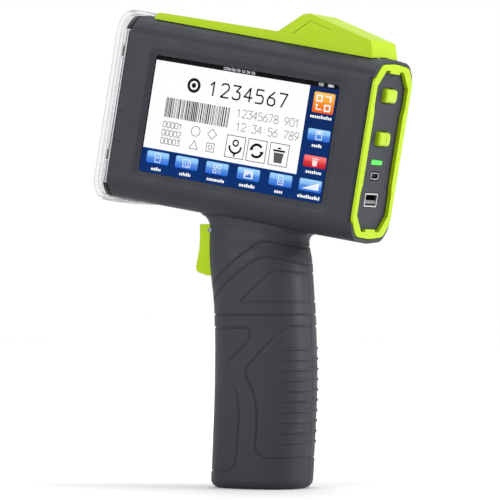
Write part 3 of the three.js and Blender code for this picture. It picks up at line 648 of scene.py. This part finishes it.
def ring_points(z, grow, tilt, angles):
    """Points of one ring, with the outward direction at each."""
    a = float(station(2, z)) + grow
    t = min(max((z - NECK_FROM) / (NECK_TO - NECK_FROM), 0), 1)
    b = HANDLE_HALF - NECK_IN * t * t * (3 - 2 * t) + min(grow, 0)
    c, s = np.cos(angles), np.sin(angles)
    x, y = a * power(c, 2 / EXPONENT), b * power(s, 2 / EXPONENT)
    nx, ny = power(c, 2 - 2 / EXPONENT) / a, power(s, 2 - 2 / EXPONENT) / b
    size = np.hypot(nx, ny)
    return float(station(1, z)) + x, y, z - x * math.tan(tilt), nx / size, ny / size


def handle_half(side):
    """One half of the grip as a closed solid, with its grooves and ribs, cut flat on the seam."""
    columns = np.linspace(0, ROUND, COLUMNS)
    angles = around(columns)
    angles[0], angles[-1] = 0, math.pi
    grid = []
    for z, grow, tilt in handle_rows():
        x, y, height, nx, ny = ring_points(z, grow, tilt, angles)
        lift = relief(columns, height) * (np.clip((z - 3) / 3, 0, 1) if z < 6 else 1.0)
        y = np.maximum(y + ny * lift, SEAM)
        grid.append(np.stack([x + nx * lift, side * y, height], 1))
    grid = np.array(grid)
    rows, n = grid.shape[:2]
    grid[:, 0, 1] = grid[:, -1, 1] = side * SEAM
    verts = grid.reshape(-1, 3)
    faces = [
        (k * n + i, k * n + i + 1, (k + 1) * n + i + 1, (k + 1) * n + i)
        for k in range(rows - 1) for i in range(n - 1)
    ]
    faces.append(tuple(range(n)))
    faces.append(tuple((rows - 1) * n + i for i in range(n)))
    faces.append(tuple(k * n for k in range(rows)) + tuple(k * n + n - 1 for k in reversed(range(rows))))
    return made("handle", verts, faces)


def handle_inner():
    angles = np.linspace(0, 2 * math.pi, 97)[:-1]
    rings = []
    straight = [(z, 0) for z in (4.2, 26, 50, 70, 88, 100, 106, 110, 114, 118)]
    for z, tilt in [*straight, (UNDERSIDE + 12, TILT)]:
        x, y, height, _, _ = ring_points(z, -HANDLE_WALL, tilt, angles)
        rings.append([tuple(p) for p in np.stack([x, y, height], 1)])
    return loft("inner", rings)


def oval(a, b, z0, z1):
    angles = np.linspace(0, 2 * math.pi, 81)[:-1]
    x, y = a * power(np.cos(angles), 2 / EXPONENT), b * power(np.sin(angles), 2 / EXPONENT)
    return loft("oval", [[(u, v, z) for u, v in zip(x, y)] for z in (z0, z1)])


# ---------------------------------------------------------------- casing halves

HEAD_SCREWS = ((-57.2, 39.2), (-54, -37.4), (48, 37.6), (50, -37.4))
HANDLE_SCREWS = ((6, 92), (-1, 12.5))


def window_cut():
    """The screen's opening: straight through, then flared with soft lips."""
    steps = [(97, 56, 2.5, -14), (97, 56, 2.5, -20.75), (97.5, 56.5, 2.6, -20.86)]
    steps += [(101.6, 60.6, 3.4, -21.72), (102.9, 61.9, 3.8, -21.93), (104.4, 63.4, 4.2, -22.01)]
    steps.append((104.4, 63.4, 4.2, -24))
    return loft("window", [set_on("y", rectangle(w, h, c, steps=8), y) for w, h, c, y in steps], HEAD)


def rear_edge_cut(side):
    """Slopes one side's rear edge down to the ring, softly at both ends of the slope."""
    x, y = RING_REAR - 0.3, HALF
    profile = [(x - 1.5, y + 0.02), (x - 1.15, y - 0.06), (x - 0.15, y - 1.0), (x, y - 1.25), (x + 6, y - 1.25),
               (x + 6, y + 4), (x - 1.5, y + 4)]
    return prism("edge", "z", [(u, side * v) for u, v in profile], -33.5, 34, HEAD)


BOSS, SCREW_HOLE, SCREW_POCKET = 3.1, 1.55, 2.7
INDEX_SLOTS = (12.5, -1, -15.5)


def at_screws(radius, y0, y1):
    """A bar at each screw's place, in the head and in the grip."""
    in_head = [bar("y", radius, y0, y1, at, HEAD) for at in HEAD_SCREWS]
    return in_head + [bar("y", radius, y0, y1, at) for at in HANDLE_SCREWS]


def hollows(side):
    """The inside, the ring's seat, the cartridge bay, the hinge pocket and the roller notches."""
    cuts = [
        head_loft([(FRONT - 10, WALL), (REAR + 10, WALL)]),
        handle_inner(),
        prism("seat", "x", trim_outline(0.4), RING_REAR - 0.3, REAR + 5, HEAD),
        rear_edge_cut(side),
        block((-53, 36), (-10.4, 12), (30, 60), HEAD),
        block((50, 60), (-14.4, 14.4), (38, 60), HEAD),
    ]
    for z in (ROLLER_UPPER, ROLLER_LOWER):
        y = sorted((side * 19, side * 20.9))
        cuts.append(block((-66, -62.5), y, (z - 3.1, z + 3.1), HEAD))
    if side < 0:
        cuts.append(window_cut())
        for z in INDEX_SLOTS:
            cuts.append(prism("slot", "y", rectangle(5.1, 0.6, 0.28, -61.95, z, 3), -23, -21.5, HEAD))
    return cuts


def screw_bosses(near):
    """Posts for the screws, kept inside the shell."""
    bosses, *others = at_screws(BOSS, *((-20.5, -SEAM) if near else (SEAM, 20.5)))
    combine(bosses, "UNION", *others)
    inner = head_loft([(FRONT, 1), (REAR, 1)])
    grip = handle_inner()
    grip.data.transform(Matrix.Diagonal((1.06, 1.06, 1, 1)))
    combine(inner, "UNION", grip)
    combine(bosses, "INTERSECT", inner)
    return bosses


def hinge_ear(near):
    outline = [(40, 41.5), (48.6, 41.5), (49.6, 44.3), (54.5, 43.3), (56.6, 44.6), (56.9, 45.9),
               (56.6, 47.3), (54.5, 48.5), (49, 47.9), (43, 45.6)]
    return prism("ear", "y", outline, *((-11.2, -9) if near else (9, 11.2)), HEAD)


def bores(near):
    """Screw holes, the trigger's slot and pin hole, the lid's pin hole and the base plate's seat."""
    pockets = [] if near else at_screws(SCREW_POCKET, 14.2, 30)
    return at_screws(SCREW_HOLE, -12.3, 30) + pockets + [
        block((-40, -14), (-8.5, 8.5), (99, 124.9)),
        bar("y", 1.5, -11.1, 11.1, (-22.2, 121.3)),
        bar("y", 1.45, -13, 13, (54.5, 45.9), HEAD),
        oval(17.6, 12.6, -1, 2.3),
        oval(15.2, 10.4, -1, 5),
    ]


def casing_half(side, name):
    near = side < 0
    shell = head_loft([(FRONT, 0.5), (FRONT + 0.15, 0.2), (FRONT + 0.5, 0),
                       (REAR - 0.5, 0), (REAR - 0.15, 0.2), (REAR, 0.5)])
    keep = block((-120, 120), (-60, -SEAM) if near else (SEAM, 60), (60, 260))
    combine(shell, "INTERSECT", keep)
    combine(shell, "UNION", handle_half(side))
    combine(shell, "DIFFERENCE", *hollows(side))
    trigger_rib = block((-12.2, -10.4), (-17, -SEAM) if near else (SEAM, 17), (98.5, 107.8))
    combine(shell, "UNION", screw_bosses(near), trigger_rib, hinge_ear(near))
    combine(shell, "DIFFERENCE", *bores(near))
    if near:
        post = block((7, 14), (-13.5, -3), (2.3, 8))
        combine(post, "DIFFERENCE", bar("z", 1.55, 0, 7, (10.5, -6.5)))
        combine(shell, "UNION", post)
    shell.name = name
    return smooth(shell, 38)


near_casing = casing_half(-1, "screen_side_shell")
placed(near_casing, casing_plastic, "body", "casing_plastic", "screen_side_casing")
far_casing = casing_half(1, "far_side_shell")
placed(far_casing, casing_plastic, "body", "casing_plastic", "far_side_casing")

# ---------------------------------------------------------------- carried-over pieces

FINISHES = {
    "cartridge_lid": (green_plastic, 0.7),
    "lid_hinge_pin": (steel, 0.15),
    "print_end_cap": (clear_plastic, 0.6),
    "front_frame": (black_plastic, 0.25),
    "front_liner": (liner_film, 0.1),
    "nozzle_guide_plate": (nozzle_metal, 0.12),
    "guide_roller_near_upper": (roller_plastic, 0.15),
    "guide_roller_near_lower": (roller_plastic, 0.15),
    "guide_roller_far_upper": (roller_plastic, 0.15),
    "guide_roller_far_lower": (roller_plastic, 0.15),
    "ink_cartridge": (cartridge_plastic, 0.8),
    "cartridge_nozzle_plate": (nozzle_metal, 0.1),
    "cartridge_cradle": (inner_plastic, 0.3),
    "contact_board": (circuit_board, 0.08),
    "end_trim_ring": (green_plastic, 0.45),
    "end_panel": (panel_plastic, 0.3),
    "upper_button_switch": (black_plastic, 0.2),
    "lower_button_switch": (black_plastic, 0.2),
    "status_lamp": (lamp_plastic, 0.3),
    "port_board": (circuit_board, 0.1),
    "touch_glass": (screen_glass, 0.15),
    "lcd_module": (steel, 0.2),
    "main_board": (circuit_board, 0.1),
    "trigger": (green_plastic, 1.0),
    "trigger_pin": (screw_steel, 0.15),
    "trigger_spring": (steel, 0),
    "trigger_switch": (black_plastic, 0.2),
    "battery_holder": (inner_plastic, 0.3),
    "battery_cell_front": (sleeve, 0.4),
    "battery_cell_rear": (sleeve, 0.4),
    "base_plate": (black_plastic, 0.4),
    "base_plate_screw": (screw_steel, 0.12),
    "screw_front_upper": (screw_steel, 0.12),
    "screw_front_lower": (screw_steel, 0.12),
    "screw_rear_upper": (screw_steel, 0.12),
    "screw_rear_lower": (screw_steel, 0.12),
    "screw_handle_upper": (screw_steel, 0.12),
    "screw_handle_lower": (screw_steel, 0.12),
}
for node, (finish, edge) in FINISHES.items():
    dressed(node, finish, edge)

# ---------------------------------------------------------------- buttons and sockets


BUTTON_WIDTH, BUTTON_HEIGHT, BUTTON_SHOULDER = 12, 6.6, 64.7


def push_button(node, z, mark=()):
    """A cushioned button on its flange, with an optional sunk mark."""
    def ring(inset, x):
        shape = rectangle(BUTTON_WIDTH - 2 * inset, BUTTON_HEIGHT - 2 * inset, 1.7 - 0.45 * inset, 0, z, 8)
        return set_on("x", shape, x)

    turns = [math.radians(a) for a in (12, 25, 38, 51, 63, 74, 83)]
    rings = [ring(0, 60.8), ring(0, BUTTON_SHOULDER)]
    rings += [ring(1.55 * (1 - math.cos(a)), BUTTON_SHOULDER + 1.6 * math.sin(a)) for a in turns]
    rings += [ring(1.9, 66.41), ring(2.5, 66.5)]
    button = loft(node + "_cushion", rings, HEAD)
    combine(button, "UNION", prism("flange", "x", rectangle(14.4, 9, 1.6, 0, z), 60.2, 61.3, HEAD))
    for outline in mark:
        sunk = prism("mark", "x", [(y, z + v) for y, v in outline], 66.25, 67, HEAD)
        combine(button, "DIFFERENCE", sunk)
    return placed(smooth(button, 40), button_plastic, node, "green_plastic", node)


ARROW = [[(-0.28, 1.7), (-0.28, 0.1), (0.28, 0.1), (0.28, 1.7)], [(-1.15, -0.1), (0, -1.6), (1.15, -0.1)]]
push_button("upper_button", 26.1)
push_button("lower_button", 5.9, ARROW)


def socket(node, size, z, corner, wall, tongue, tongue_finish, tongue_slot):
    """A drawn metal shell with a contact tongue inside it, and a dark sleeve inside the shell as painted shade in
    the opening.
    """
    width, height = size

    def opening(inset, x0, x1):
        shape = rectangle(width - 2 * inset, height - 2 * inset, max(corner - 0.8 * inset, 0.15), 0, z)
        return prism("opening", "x", shape, x0, x1, HEAD)

    shell = opening(0, 55.9, 63.7)
    combine(shell, "DIFFERENCE", opening(wall, 57.1, 65))
    shell.name = node + "_shell"
    edge = shell.modifiers.new("edge", "BEVEL")
    edge.width, edge.segments, edge.limit_method = 0.1 * MM, 3, "ANGLE"
    edge.angle_limit = math.radians(40)
    placed(smooth(shell, 50), steel, "body", "steel", node)
    # A dark sleeve inside the shell: painted shade in the socket's opening.
    painted_shade_sleeve = opening(wall + 0.02, 57.15, 62.9)
    combine(painted_shade_sleeve, "DIFFERENCE", opening(wall + 0.2, 58, 65))
    painted_shade_sleeve.name = node + "_lining"
    placed(smooth(painted_shade_sleeve), black_plastic, "body", "black_plastic", node)
    half, low, high, front = tongue
    outline = rectangle(2 * half, high - low, 0.12, 0, z + (low + high) / 2)
    blade = prism(node + "_tongue", "x", outline, 57.9, front, HEAD)
    placed(smooth(blade), tongue_finish, "body", tongue_slot, node)


# Each tongue is given as half its width, its bottom and top from the socket's middle, and its front.
socket("usb_c_socket", (8.94, 3.26), -11.6, 1.6, 0.42, (3.3, -0.35, 0.35, 62.4),
       black_plastic, "black_plastic")
socket("usb_a_socket", (14, 6.5), -22.9, 0.5, 0.75, (6.0, -1.75, -0.15, 63.35),
       roller_plastic, "roller_plastic")

# ---------------------------------------------------------------- picture on the display

GLASS_FRONT = -20.7
NAVY, DEEP_NAVY = (0, 47, 112), (0, 34, 90)
SKY, SKY_LOW = (128, 182, 246), (36, 104, 214)
INK, GREY_INK, PAPER = (18, 18, 20), (92, 92, 96), (255, 255, 255)
BLACK, PALE, PALE_RED, STATUS_INK = (2, 2, 3), (225, 238, 255), (255, 226, 226), (225, 228, 232)

STROKES = {
    "0": [[(0.1, 0), (0, 0.2), (0, 0.8), (0.1, 1), (0.5, 1), (0.6, 0.8), (0.6, 0.2), (0.5, 0), (0.1, 0)]],
    "1": [[(0.05, 0.75), (0.3, 1), (0.3, 0)]],
    "2": [[(0, 0.85), (0.12, 1), (0.48, 1), (0.6, 0.85), (0.6, 0.62), (0, 0), (0.62, 0)]],
    "3": [[(0, 1), (0.6, 1), (0.28, 0.58), (0.5, 0.55), (0.6, 0.4), (0.6, 0.15), (0.48, 0), (0.1, 0),
           (0, 0.12)]],
    "4": [[(0.45, 0), (0.45, 1), (0, 0.3), (0.65, 0.3)]],
    "5": [[(0.58, 1), (0.05, 1), (0.03, 0.58), (0.45, 0.6), (0.6, 0.45), (0.6, 0.15), (0.48, 0), (0, 0)]],
    "6": [[(0.5, 1), (0.1, 0.6), (0, 0.35), (0.05, 0.08), (0.2, 0), (0.45, 0), (0.6, 0.15), (0.6, 0.4),
           (0.45, 0.55), (0.1, 0.55)]],
    "7": [[(0, 1), (0.6, 1), (0.2, 0)]],
    "8": [[(0.3, 0.52), (0.08, 0.66), (0.08, 0.88), (0.2, 1), (0.42, 1), (0.54, 0.88), (0.54, 0.66),
           (0.3, 0.52), (0.03, 0.36), (0.03, 0.12), (0.18, 0), (0.45, 0), (0.6, 0.12), (0.6, 0.36), (0.3, 0.52)]],
    "9": [[(0.1, 0), (0.5, 0.4), (0.6, 0.65), (0.55, 0.92), (0.4, 1), (0.15, 1), (0, 0.85), (0, 0.6),
           (0.15, 0.45), (0.5, 0.45)]],
    ":": [[(0.26, 0.72), (0.34, 0.72)], [(0.26, 0.25), (0.34, 0.25)]],
    "/": [[(0.05, 0), (0.5, 1)]],
    " ": [],
}


class Picture:
    """Thin plates in the head's X and Z, stacked in layers on the front of the glass."""

    def __init__(self):
        self.verts, self.faces, self.colours = [], [], []

    def plate(self, outline, layer, top, bottom=None):
        bottom = bottom or top
        back, front = GLASS_FRONT + 0.004, GLASS_FRONT - 0.012 - 0.012 * layer
        lows = [z for _, z in outline]
        low, high = min(lows), max(lows)
        n, start = len(outline), len(self.verts)
        for y in (back, front):
            for x, z in outline:
                self.verts.append((x, y, z))
                k = (z - low) / (high - low) if high > low else 1
                self.colours.append(linear(*(b + (t - b) * k for t, b in zip(top, bottom))))
        self.faces.append(tuple(start + i for i in range(n)))
        self.faces.append(tuple(start + n + i for i in reversed(range(n))))
        for i in range(n):
            j = (i + 1) % n
            self.faces.append((start + i, start + n + i, start + n + j, start + j))

    def box(self, x0, x1, z0, z1, layer, top, bottom=None, corner=0.0):
        if corner:
            outline = rectangle(x1 - x0, z1 - z0, corner, (x0 + x1) / 2, (z0 + z1) / 2, 4)
        else:
            outline = [(x0, z0), (x1, z0), (x1, z1), (x0, z1)]
        self.plate(outline, layer, top, bottom)

    def line(self, points, width, layer, colour, closed=False):
        """A line of even width, as one plate for each run."""
        h = width / 2
        for (x0, z0), (x1, z1) in zip(points, points[1:] + (points[:1] if closed else [])):
            d = Vector((x1 - x0, z1 - z0))
            if d.length < 1e-6:
                continue
            d = d.normalized() * h
            side = Vector((-d.y, d.x))
            a, b = Vector((x0, z0)) - d * 0.6, Vector((x1, z1)) + d * 0.6
            self.plate([tuple(a + side), tuple(a - side), tuple(b - side), tuple(b + side)], layer, colour)

    def number(self, text, x, z, height, width, layer, colour, pitch):
        for i, mark in enumerate(text):
            left = x + i * height * pitch
            for stroke in STROKES[mark]:
                points = [(left + u * height, z + v * height) for u, v in stroke]
                self.line(points, width, layer, colour)

    def ring(self, x, z, radius, width, layer, colour, count=20, part=1.0, start=0.0):
        turn = [start + part * 2 * math.pi * i / count for i in range(count + 1)]
        self.line([(x + radius * math.cos(t), z + radius * math.sin(t)) for t in turn], width, layer, colour)

    def caption(self, x, z, width, layer, seed):
        """A caption hinted at by small blocks, with no letters."""
        rng = random.Random(seed)
        at = x - width / 2
        while at < x + width / 2 - 0.5:
            run = rng.choice((0.62, 0.8, 0.95))
            high = rng.choice((1.15, 1.15, 1.6))
            self.box(at, at + run, z, z + high, layer, PAPER, corner=0.2)
            at += run + 0.26

    def finished(self):
        obj = made("screen_picture", self.verts, self.faces, HEAD)
        layer = obj.data.color_attributes.new("picture", "FLOAT_COLOR", "POINT")
        layer.data.foreach_set("color", [c for colour in self.colours for c in colour])
        return obj


def icon(pic, x0, x1, z0, z1, top=SKY, bottom=SKY_LOW):
    """A glossy key: a bright upper half over a deeper lower half."""
    pic.box(x0, x1, z0, z1, 2, top, bottom, 0.9)
    middle = z0 + (z1 - z0) * 0.52
    light = tuple(min(255, c + 40) for c in top)
    pic.box(x0 + 0.25, x1 - 0.25, middle, z1 - 0.2, 3, light, top, 0.7)


def backgrounds(pic):
    right, low, high = 48.2, -27.7, 27.7
    pic.box(-right, right, low, high, 0, DEEP_NAVY, NAVY, 2.0)
    pic.box(-right, right, 25.5, high, 1, BLACK, (5, 6, 9), 1.2)
    pic.box(-right, -47.9, -16.1, 25.6, 1, BLACK)
    pic.box(33.5, right, -16.1, 25.5, 1, DEEP_NAVY, NAVY)
    pic.box(-47.9, 33.5, -16.1, 25.5, 1, PAPER)
    pic.box(-right, 33.5, -16.5, -16.1, 1, (0, 60, 140))


def heading(pic):
    """A disc mark and a row of digits."""
    pic.plate(circle(3.5, 28, -26.2, 16.4), 2, INK)
    pic.plate(circle(2.1, 24, -26.2, 16.4), 3, PAPER)
    pic.plate(circle(1.2, 20, -26.2, 16.4), 4, INK)
    pic.number("1234567", -17.6, 13.2, 6.3, 0.78, 2, INK, 0.97)


def codes(pic):
    """A bar code and plain numbers."""
    rng = random.Random(7)
    at = -39.4
    while at < -5.6:
        wide = rng.choice((0.24, 0.24, 0.42, 0.42, 0.66))
        pic.box(at, min(at + wide, -5.3), -0.4, 8.9, 2, INK)
        at += wide + rng.choice((0.26, 0.26, 0.4, 0.58))
    pic.number("12345678 901", -1.6, 5.3, 3.7, 0.27, 2, GREY_INK, 0.75)
    pic.number("12:34:56 789", -1.0, -0.9, 3.7, 0.27, 2, GREY_INK, 0.75)
    for k, text in enumerate(("00001", "00002", "00003")):
        pic.number(text, -39.2, -5.2 - 3.9 * k, 2.7, 0.3, 2, GREY_INK, 0.78)


def outline_marks(pic):
    """A circle, a diamond, a triangle and a square."""
    pic.ring(-21.6, -4.7, 2.3, 0.3, 2, GREY_INK)
    pic.line([(-15.2, -4.7), (-12.8, -2.3), (-10.4, -4.7), (-12.8, -7.1)], 0.3, 2, GREY_INK, True)
    pic.line([(-23.7, -13.0), (-19.3, -13.0), (-21.5, -9.0)], 0.3, 2, GREY_INK, True)
    pic.line([(-14.8, -13.0), (-10.8, -13.0), (-10.8, -9.0), (-14.8, -9.0)], 0.3, 2, GREY_INK, True)
    pic.ring(-12.8, -11.0, 1.0, 0.3, 2, GREY_INK, 14)


def framed_marks(pic):
    """A cup, a pair of turning arrows and a bin, each in a frame."""
    for left in (-4.7, 6.6, 18.2):
        pic.line([(left, -13.9), (left + 9.7, -13.9), (left + 9.7, -3.6), (left, -3.6)], 0.32, 2, INK, True)
    pic.ring(0.15, -6.9, 1.35, 0.7, 2, INK, 16)
    pic.ring(0.15, -8.6, 3.0, 0.95, 2, INK, 16, 0.5, math.pi)
    pic.line([(0.15, -11.6), (0.15, -13.0)], 0.9, 2, INK)
    for turn in (0.25, 1.25):
        pic.ring(11.45, -8.75, 2.9, 1.15, 2, INK, 12, 0.36, turn * math.pi)
    pic.plate([(7.6, -8.6), (9.9, -8.6), (8.6, -6.6)], 2, INK)
    pic.plate([(15.3, -8.9), (13.0, -8.9), (14.3, -10.9)], 2, INK)
    pic.plate([(21.0, -12.6), (25.0, -12.6), (25.6, -7.9), (20.4, -7.9)], 2, GREY_INK)
    pic.box(19.9, 26.1, -7.4, -6.5, 2, INK)
    pic.box(22.2, 23.8, -6.2, -5.4, 2, INK)


def glyph(pic, k, middle):
    """The mark on one of the keys along the bottom."""
    if k == 0:
        pic.line([(middle - 1.4, -22.2), (middle + 1.4, -22.2), (middle + 1.4, -19.0),
                  (middle + 0.5, -18.1), (middle - 1.4, -18.1)], 0.35, 4, PALE, True)
        pic.line([(middle - 0.7, -20.2), (middle + 0.7, -20.2)], 0.35, 4, PALE)
    elif k == 1:
        pic.line([(middle - 1.9, -22.1), (middle + 1.9, -22.1), (middle + 1.9, -18.7), (middle - 1.9, -18.7)],
                 0.35, 4, PALE, True)
        pic.number("12", middle - 1.1, -21.6, 1.7, 0.25, 4, PALE, 0.75)
    elif k == 2:
        for dx, dz in ((-1.9, -20.0), (0.3, -20.0), (-1.9, -22.2)):
            pic.line([(middle + dx, dz), (middle + dx + 1.5, dz), (middle + dx + 1.5, dz + 1.5),
                      (middle + dx, dz + 1.5)], 0.35, 4, PALE, True)
        for dx, dz in ((0.5, -21.2), (1.5, -22.2), (0.4, -22.2), (1.5, -21.0)):
            pic.box(middle + dx, middle + dx + 0.5, dz, dz + 0.5, 4, PALE)
    elif k == 3:
        pic.box(middle - 2.4, middle + 2.4, -22.2, -18.2, 4, PALE, corner=0.3)
        hills = [(-1.8, -21.7), (1.8, -21.7), (0.6, -19.6), (-0.4, -20.9), (-0.9, -20.3)]
        pic.plate([(middle + dx, z) for dx, z in hills], 5, SKY_LOW)
    elif k == 4:
        pic.line([(middle - 1.3, -22.2), (middle + 1.5, -22.2), (middle + 1.5, -19.1), (middle + 0.5, -18.1),
                  (middle - 1.3, -18.1)], 0.35, 4, PALE, True)
        pic.ring(middle + 0.1, -20.6, 0.75, 0.3, 4, PALE, 12)
    else:
        wedge_mark = [(middle - 4.4, -22.0), (middle + 4.4, -22.0), (middle + 4.4, -18.4)]
        pic.plate(wedge_mark, 4, (250, 252, 255), PALE)


def bottom_keys(pic):
    keys = ((-45.2, -33.3), (-29.7, -17.7), (-13.4, -1.5), (3.3, 15.1), (20.1, 32.0), (35.7, 47.3))
    captions = (5.4, 6.0, 9.2, 8.0, 4.6, 11.4)
    for k, (x0, x1) in enumerate(keys):
        middle = (x0 + x1) / 2
        icon(pic, x0, x1, -23.0, -17.3)
        pic.caption(middle, -26.3, captions[k], 2, 30 + k)
        glyph(pic, k, middle)


def side_keys(pic):
    pic.box(36.3, 47.1, 13.6, 23.2, 2, (255, 184, 60), (240, 92, 24), 0.9)
    pic.box(36.6, 46.8, 18.6, 22.9, 3, (255, 205, 110), (252, 160, 50), 0.8)
    for x, z in ((37.9, 19.0), (42.5, 14.9)):
        pic.line([(x, z), (x + 2.6, z), (x + 2.6, z + 2.6), (x, z + 2.6)], 0.7, 4, PAPER, True)
    pic.line([(42.4, 21.6), (45.0, 21.6), (45.0, 19.6)], 0.55, 4, PAPER)
    pic.plate([(44.2, 19.9), (45.8, 19.9), (45.0, 18.9)], 4, PAPER)
    pic.line([(40.9, 15.2), (38.3, 15.2), (38.3, 17.2)], 0.55, 4, PAPER)
    pic.plate([(37.5, 16.9), (39.1, 16.9), (38.3, 17.9)], 4, PAPER)
    pic.caption(41.7, 11.0, 11.6, 2, 60)
    icon(pic, 36.0, 47.6, 0.7, 6.1)
    pic.line([(40.4, 1.4), (43.4, 1.4), (43.4, 5.3), (40.4, 5.3)], 0.4, 4, PALE, True)
    pic.box(41.0, 42.8, 3.7, 5.2, 4, PALE)
    pic.caption(41.8, -2.3, 5.6, 2, 61)
    icon(pic, 36.1, 47.7, -11.7, -6.3, (238, 92, 92), (196, 16, 34))
    pic.plate([(40.9, -11.0), (43.0, -11.0), (43.3, -8.3), (40.6, -8.3)], 4, PALE_RED)
    pic.box(40.2, 43.7, -7.9, -7.4, 4, PALE_RED)
    pic.caption(41.9, -14.6, 7.8, 2, 62)


def status_line(pic):
    pic.number("12:34:56", -2.6, 26.1, 1.15, 0.2, 2, STATUS_INK, 0.78)
    pic.number("1234/56/78", -12.2, 26.1, 1.15, 0.2, 2, STATUS_INK, 0.78)
    pic.number("100", 37.6, 26.1, 1.15, 0.2, 2, STATUS_INK, 0.78)
    pic.line([(42.6, 26.2), (45.4, 26.2), (45.4, 27.2), (42.6, 27.2)], 0.2, 2, STATUS_INK, True)
    pic.box(42.9, 44.9, 26.4, 27.0, 2, STATUS_INK)


def screen_picture():
    pic = Picture()
    parts = (backgrounds, heading, codes, outline_marks, framed_marks, bottom_keys, side_keys, status_line)
    for draw in parts:
        draw(pic)
    return pic.finished()


placed(screen_picture(), display, "body", "display")

# ---------------------------------------------------------------- studio

world = bpy.data.worlds.new("studio")
world.use_nodes = True
world.node_tree.nodes["Background"].inputs["Color"].default_value = (1, 1, 1, 1)
world.node_tree.nodes["Background"].inputs["Strength"].default_value = 1.0
scene.world = world


def soft_light(name, place, target, power_w, size):
    lamp = bpy.data.lights.new(name, "AREA")
    lamp.energy = power_w
    lamp.shape = "RECTANGLE"
    lamp.size, lamp.size_y = size
    obj = bpy.data.objects.new(name, lamp)
    scene.collection.objects.link(obj)
    obj.location = place
    return aimed(obj, target)


MIDDLE = (0, 0, 0.12)
soft_light("key", (-0.72, -1.55, 0.78), MIDDLE, 20, (0.8, 0.8))
soft_light("side", (1.62, 0.42, 0.62), MIDDLE, 34, (0.8, 0.8))
soft_light("top", (-0.1, 0.3, 1.7), MIDDLE, 12, (0.9, 0.8))


def studio_floor():
    """A wide, faintly uneven pale floor, with painted shade that makes it greyer under and around the object."""
    count, size = 24, 6.0
    row = count + 1
    lines = [i * size / count - size / 2 for i in range(row)]
    verts = [(x, y, 0.0) for y in lines for x in lines]
    corners = [j * row + i for j in range(count) for i in range(count)]
    faces = [(c, c + 1, c + row + 1, c + row) for c in corners]
    mesh = bpy.data.meshes.new("floor")
    mesh.from_pydata(verts, [], faces)
    floor = bpy.data.objects.new("floor", mesh)
    scene.collection.objects.link(floor)
    f = Finish("floor_with_painted_shade", 0.7)
    away_from_middle = f.add("ShaderNodeVectorMath", operation="LENGTH")
    f.link(f.place, away_from_middle.inputs[0])
    # Painted shade: darker grey under and around the object, fading to the pale floor further out.
    painted_shade_spread = f.span(away_from_middle.outputs["Value"], 0.1, 0.75)
    near = f.mix(f.noise(3), (0.60, 0.60, 0.60, 1), (0.62, 0.62, 0.62, 1))
    f.colour(f.mix(painted_shade_spread, near, (0.965, 0.965, 0.965, 1)))
    mesh.materials.append(f.material)


studio_floor()
scene.view_settings.view_transform = "Standard"
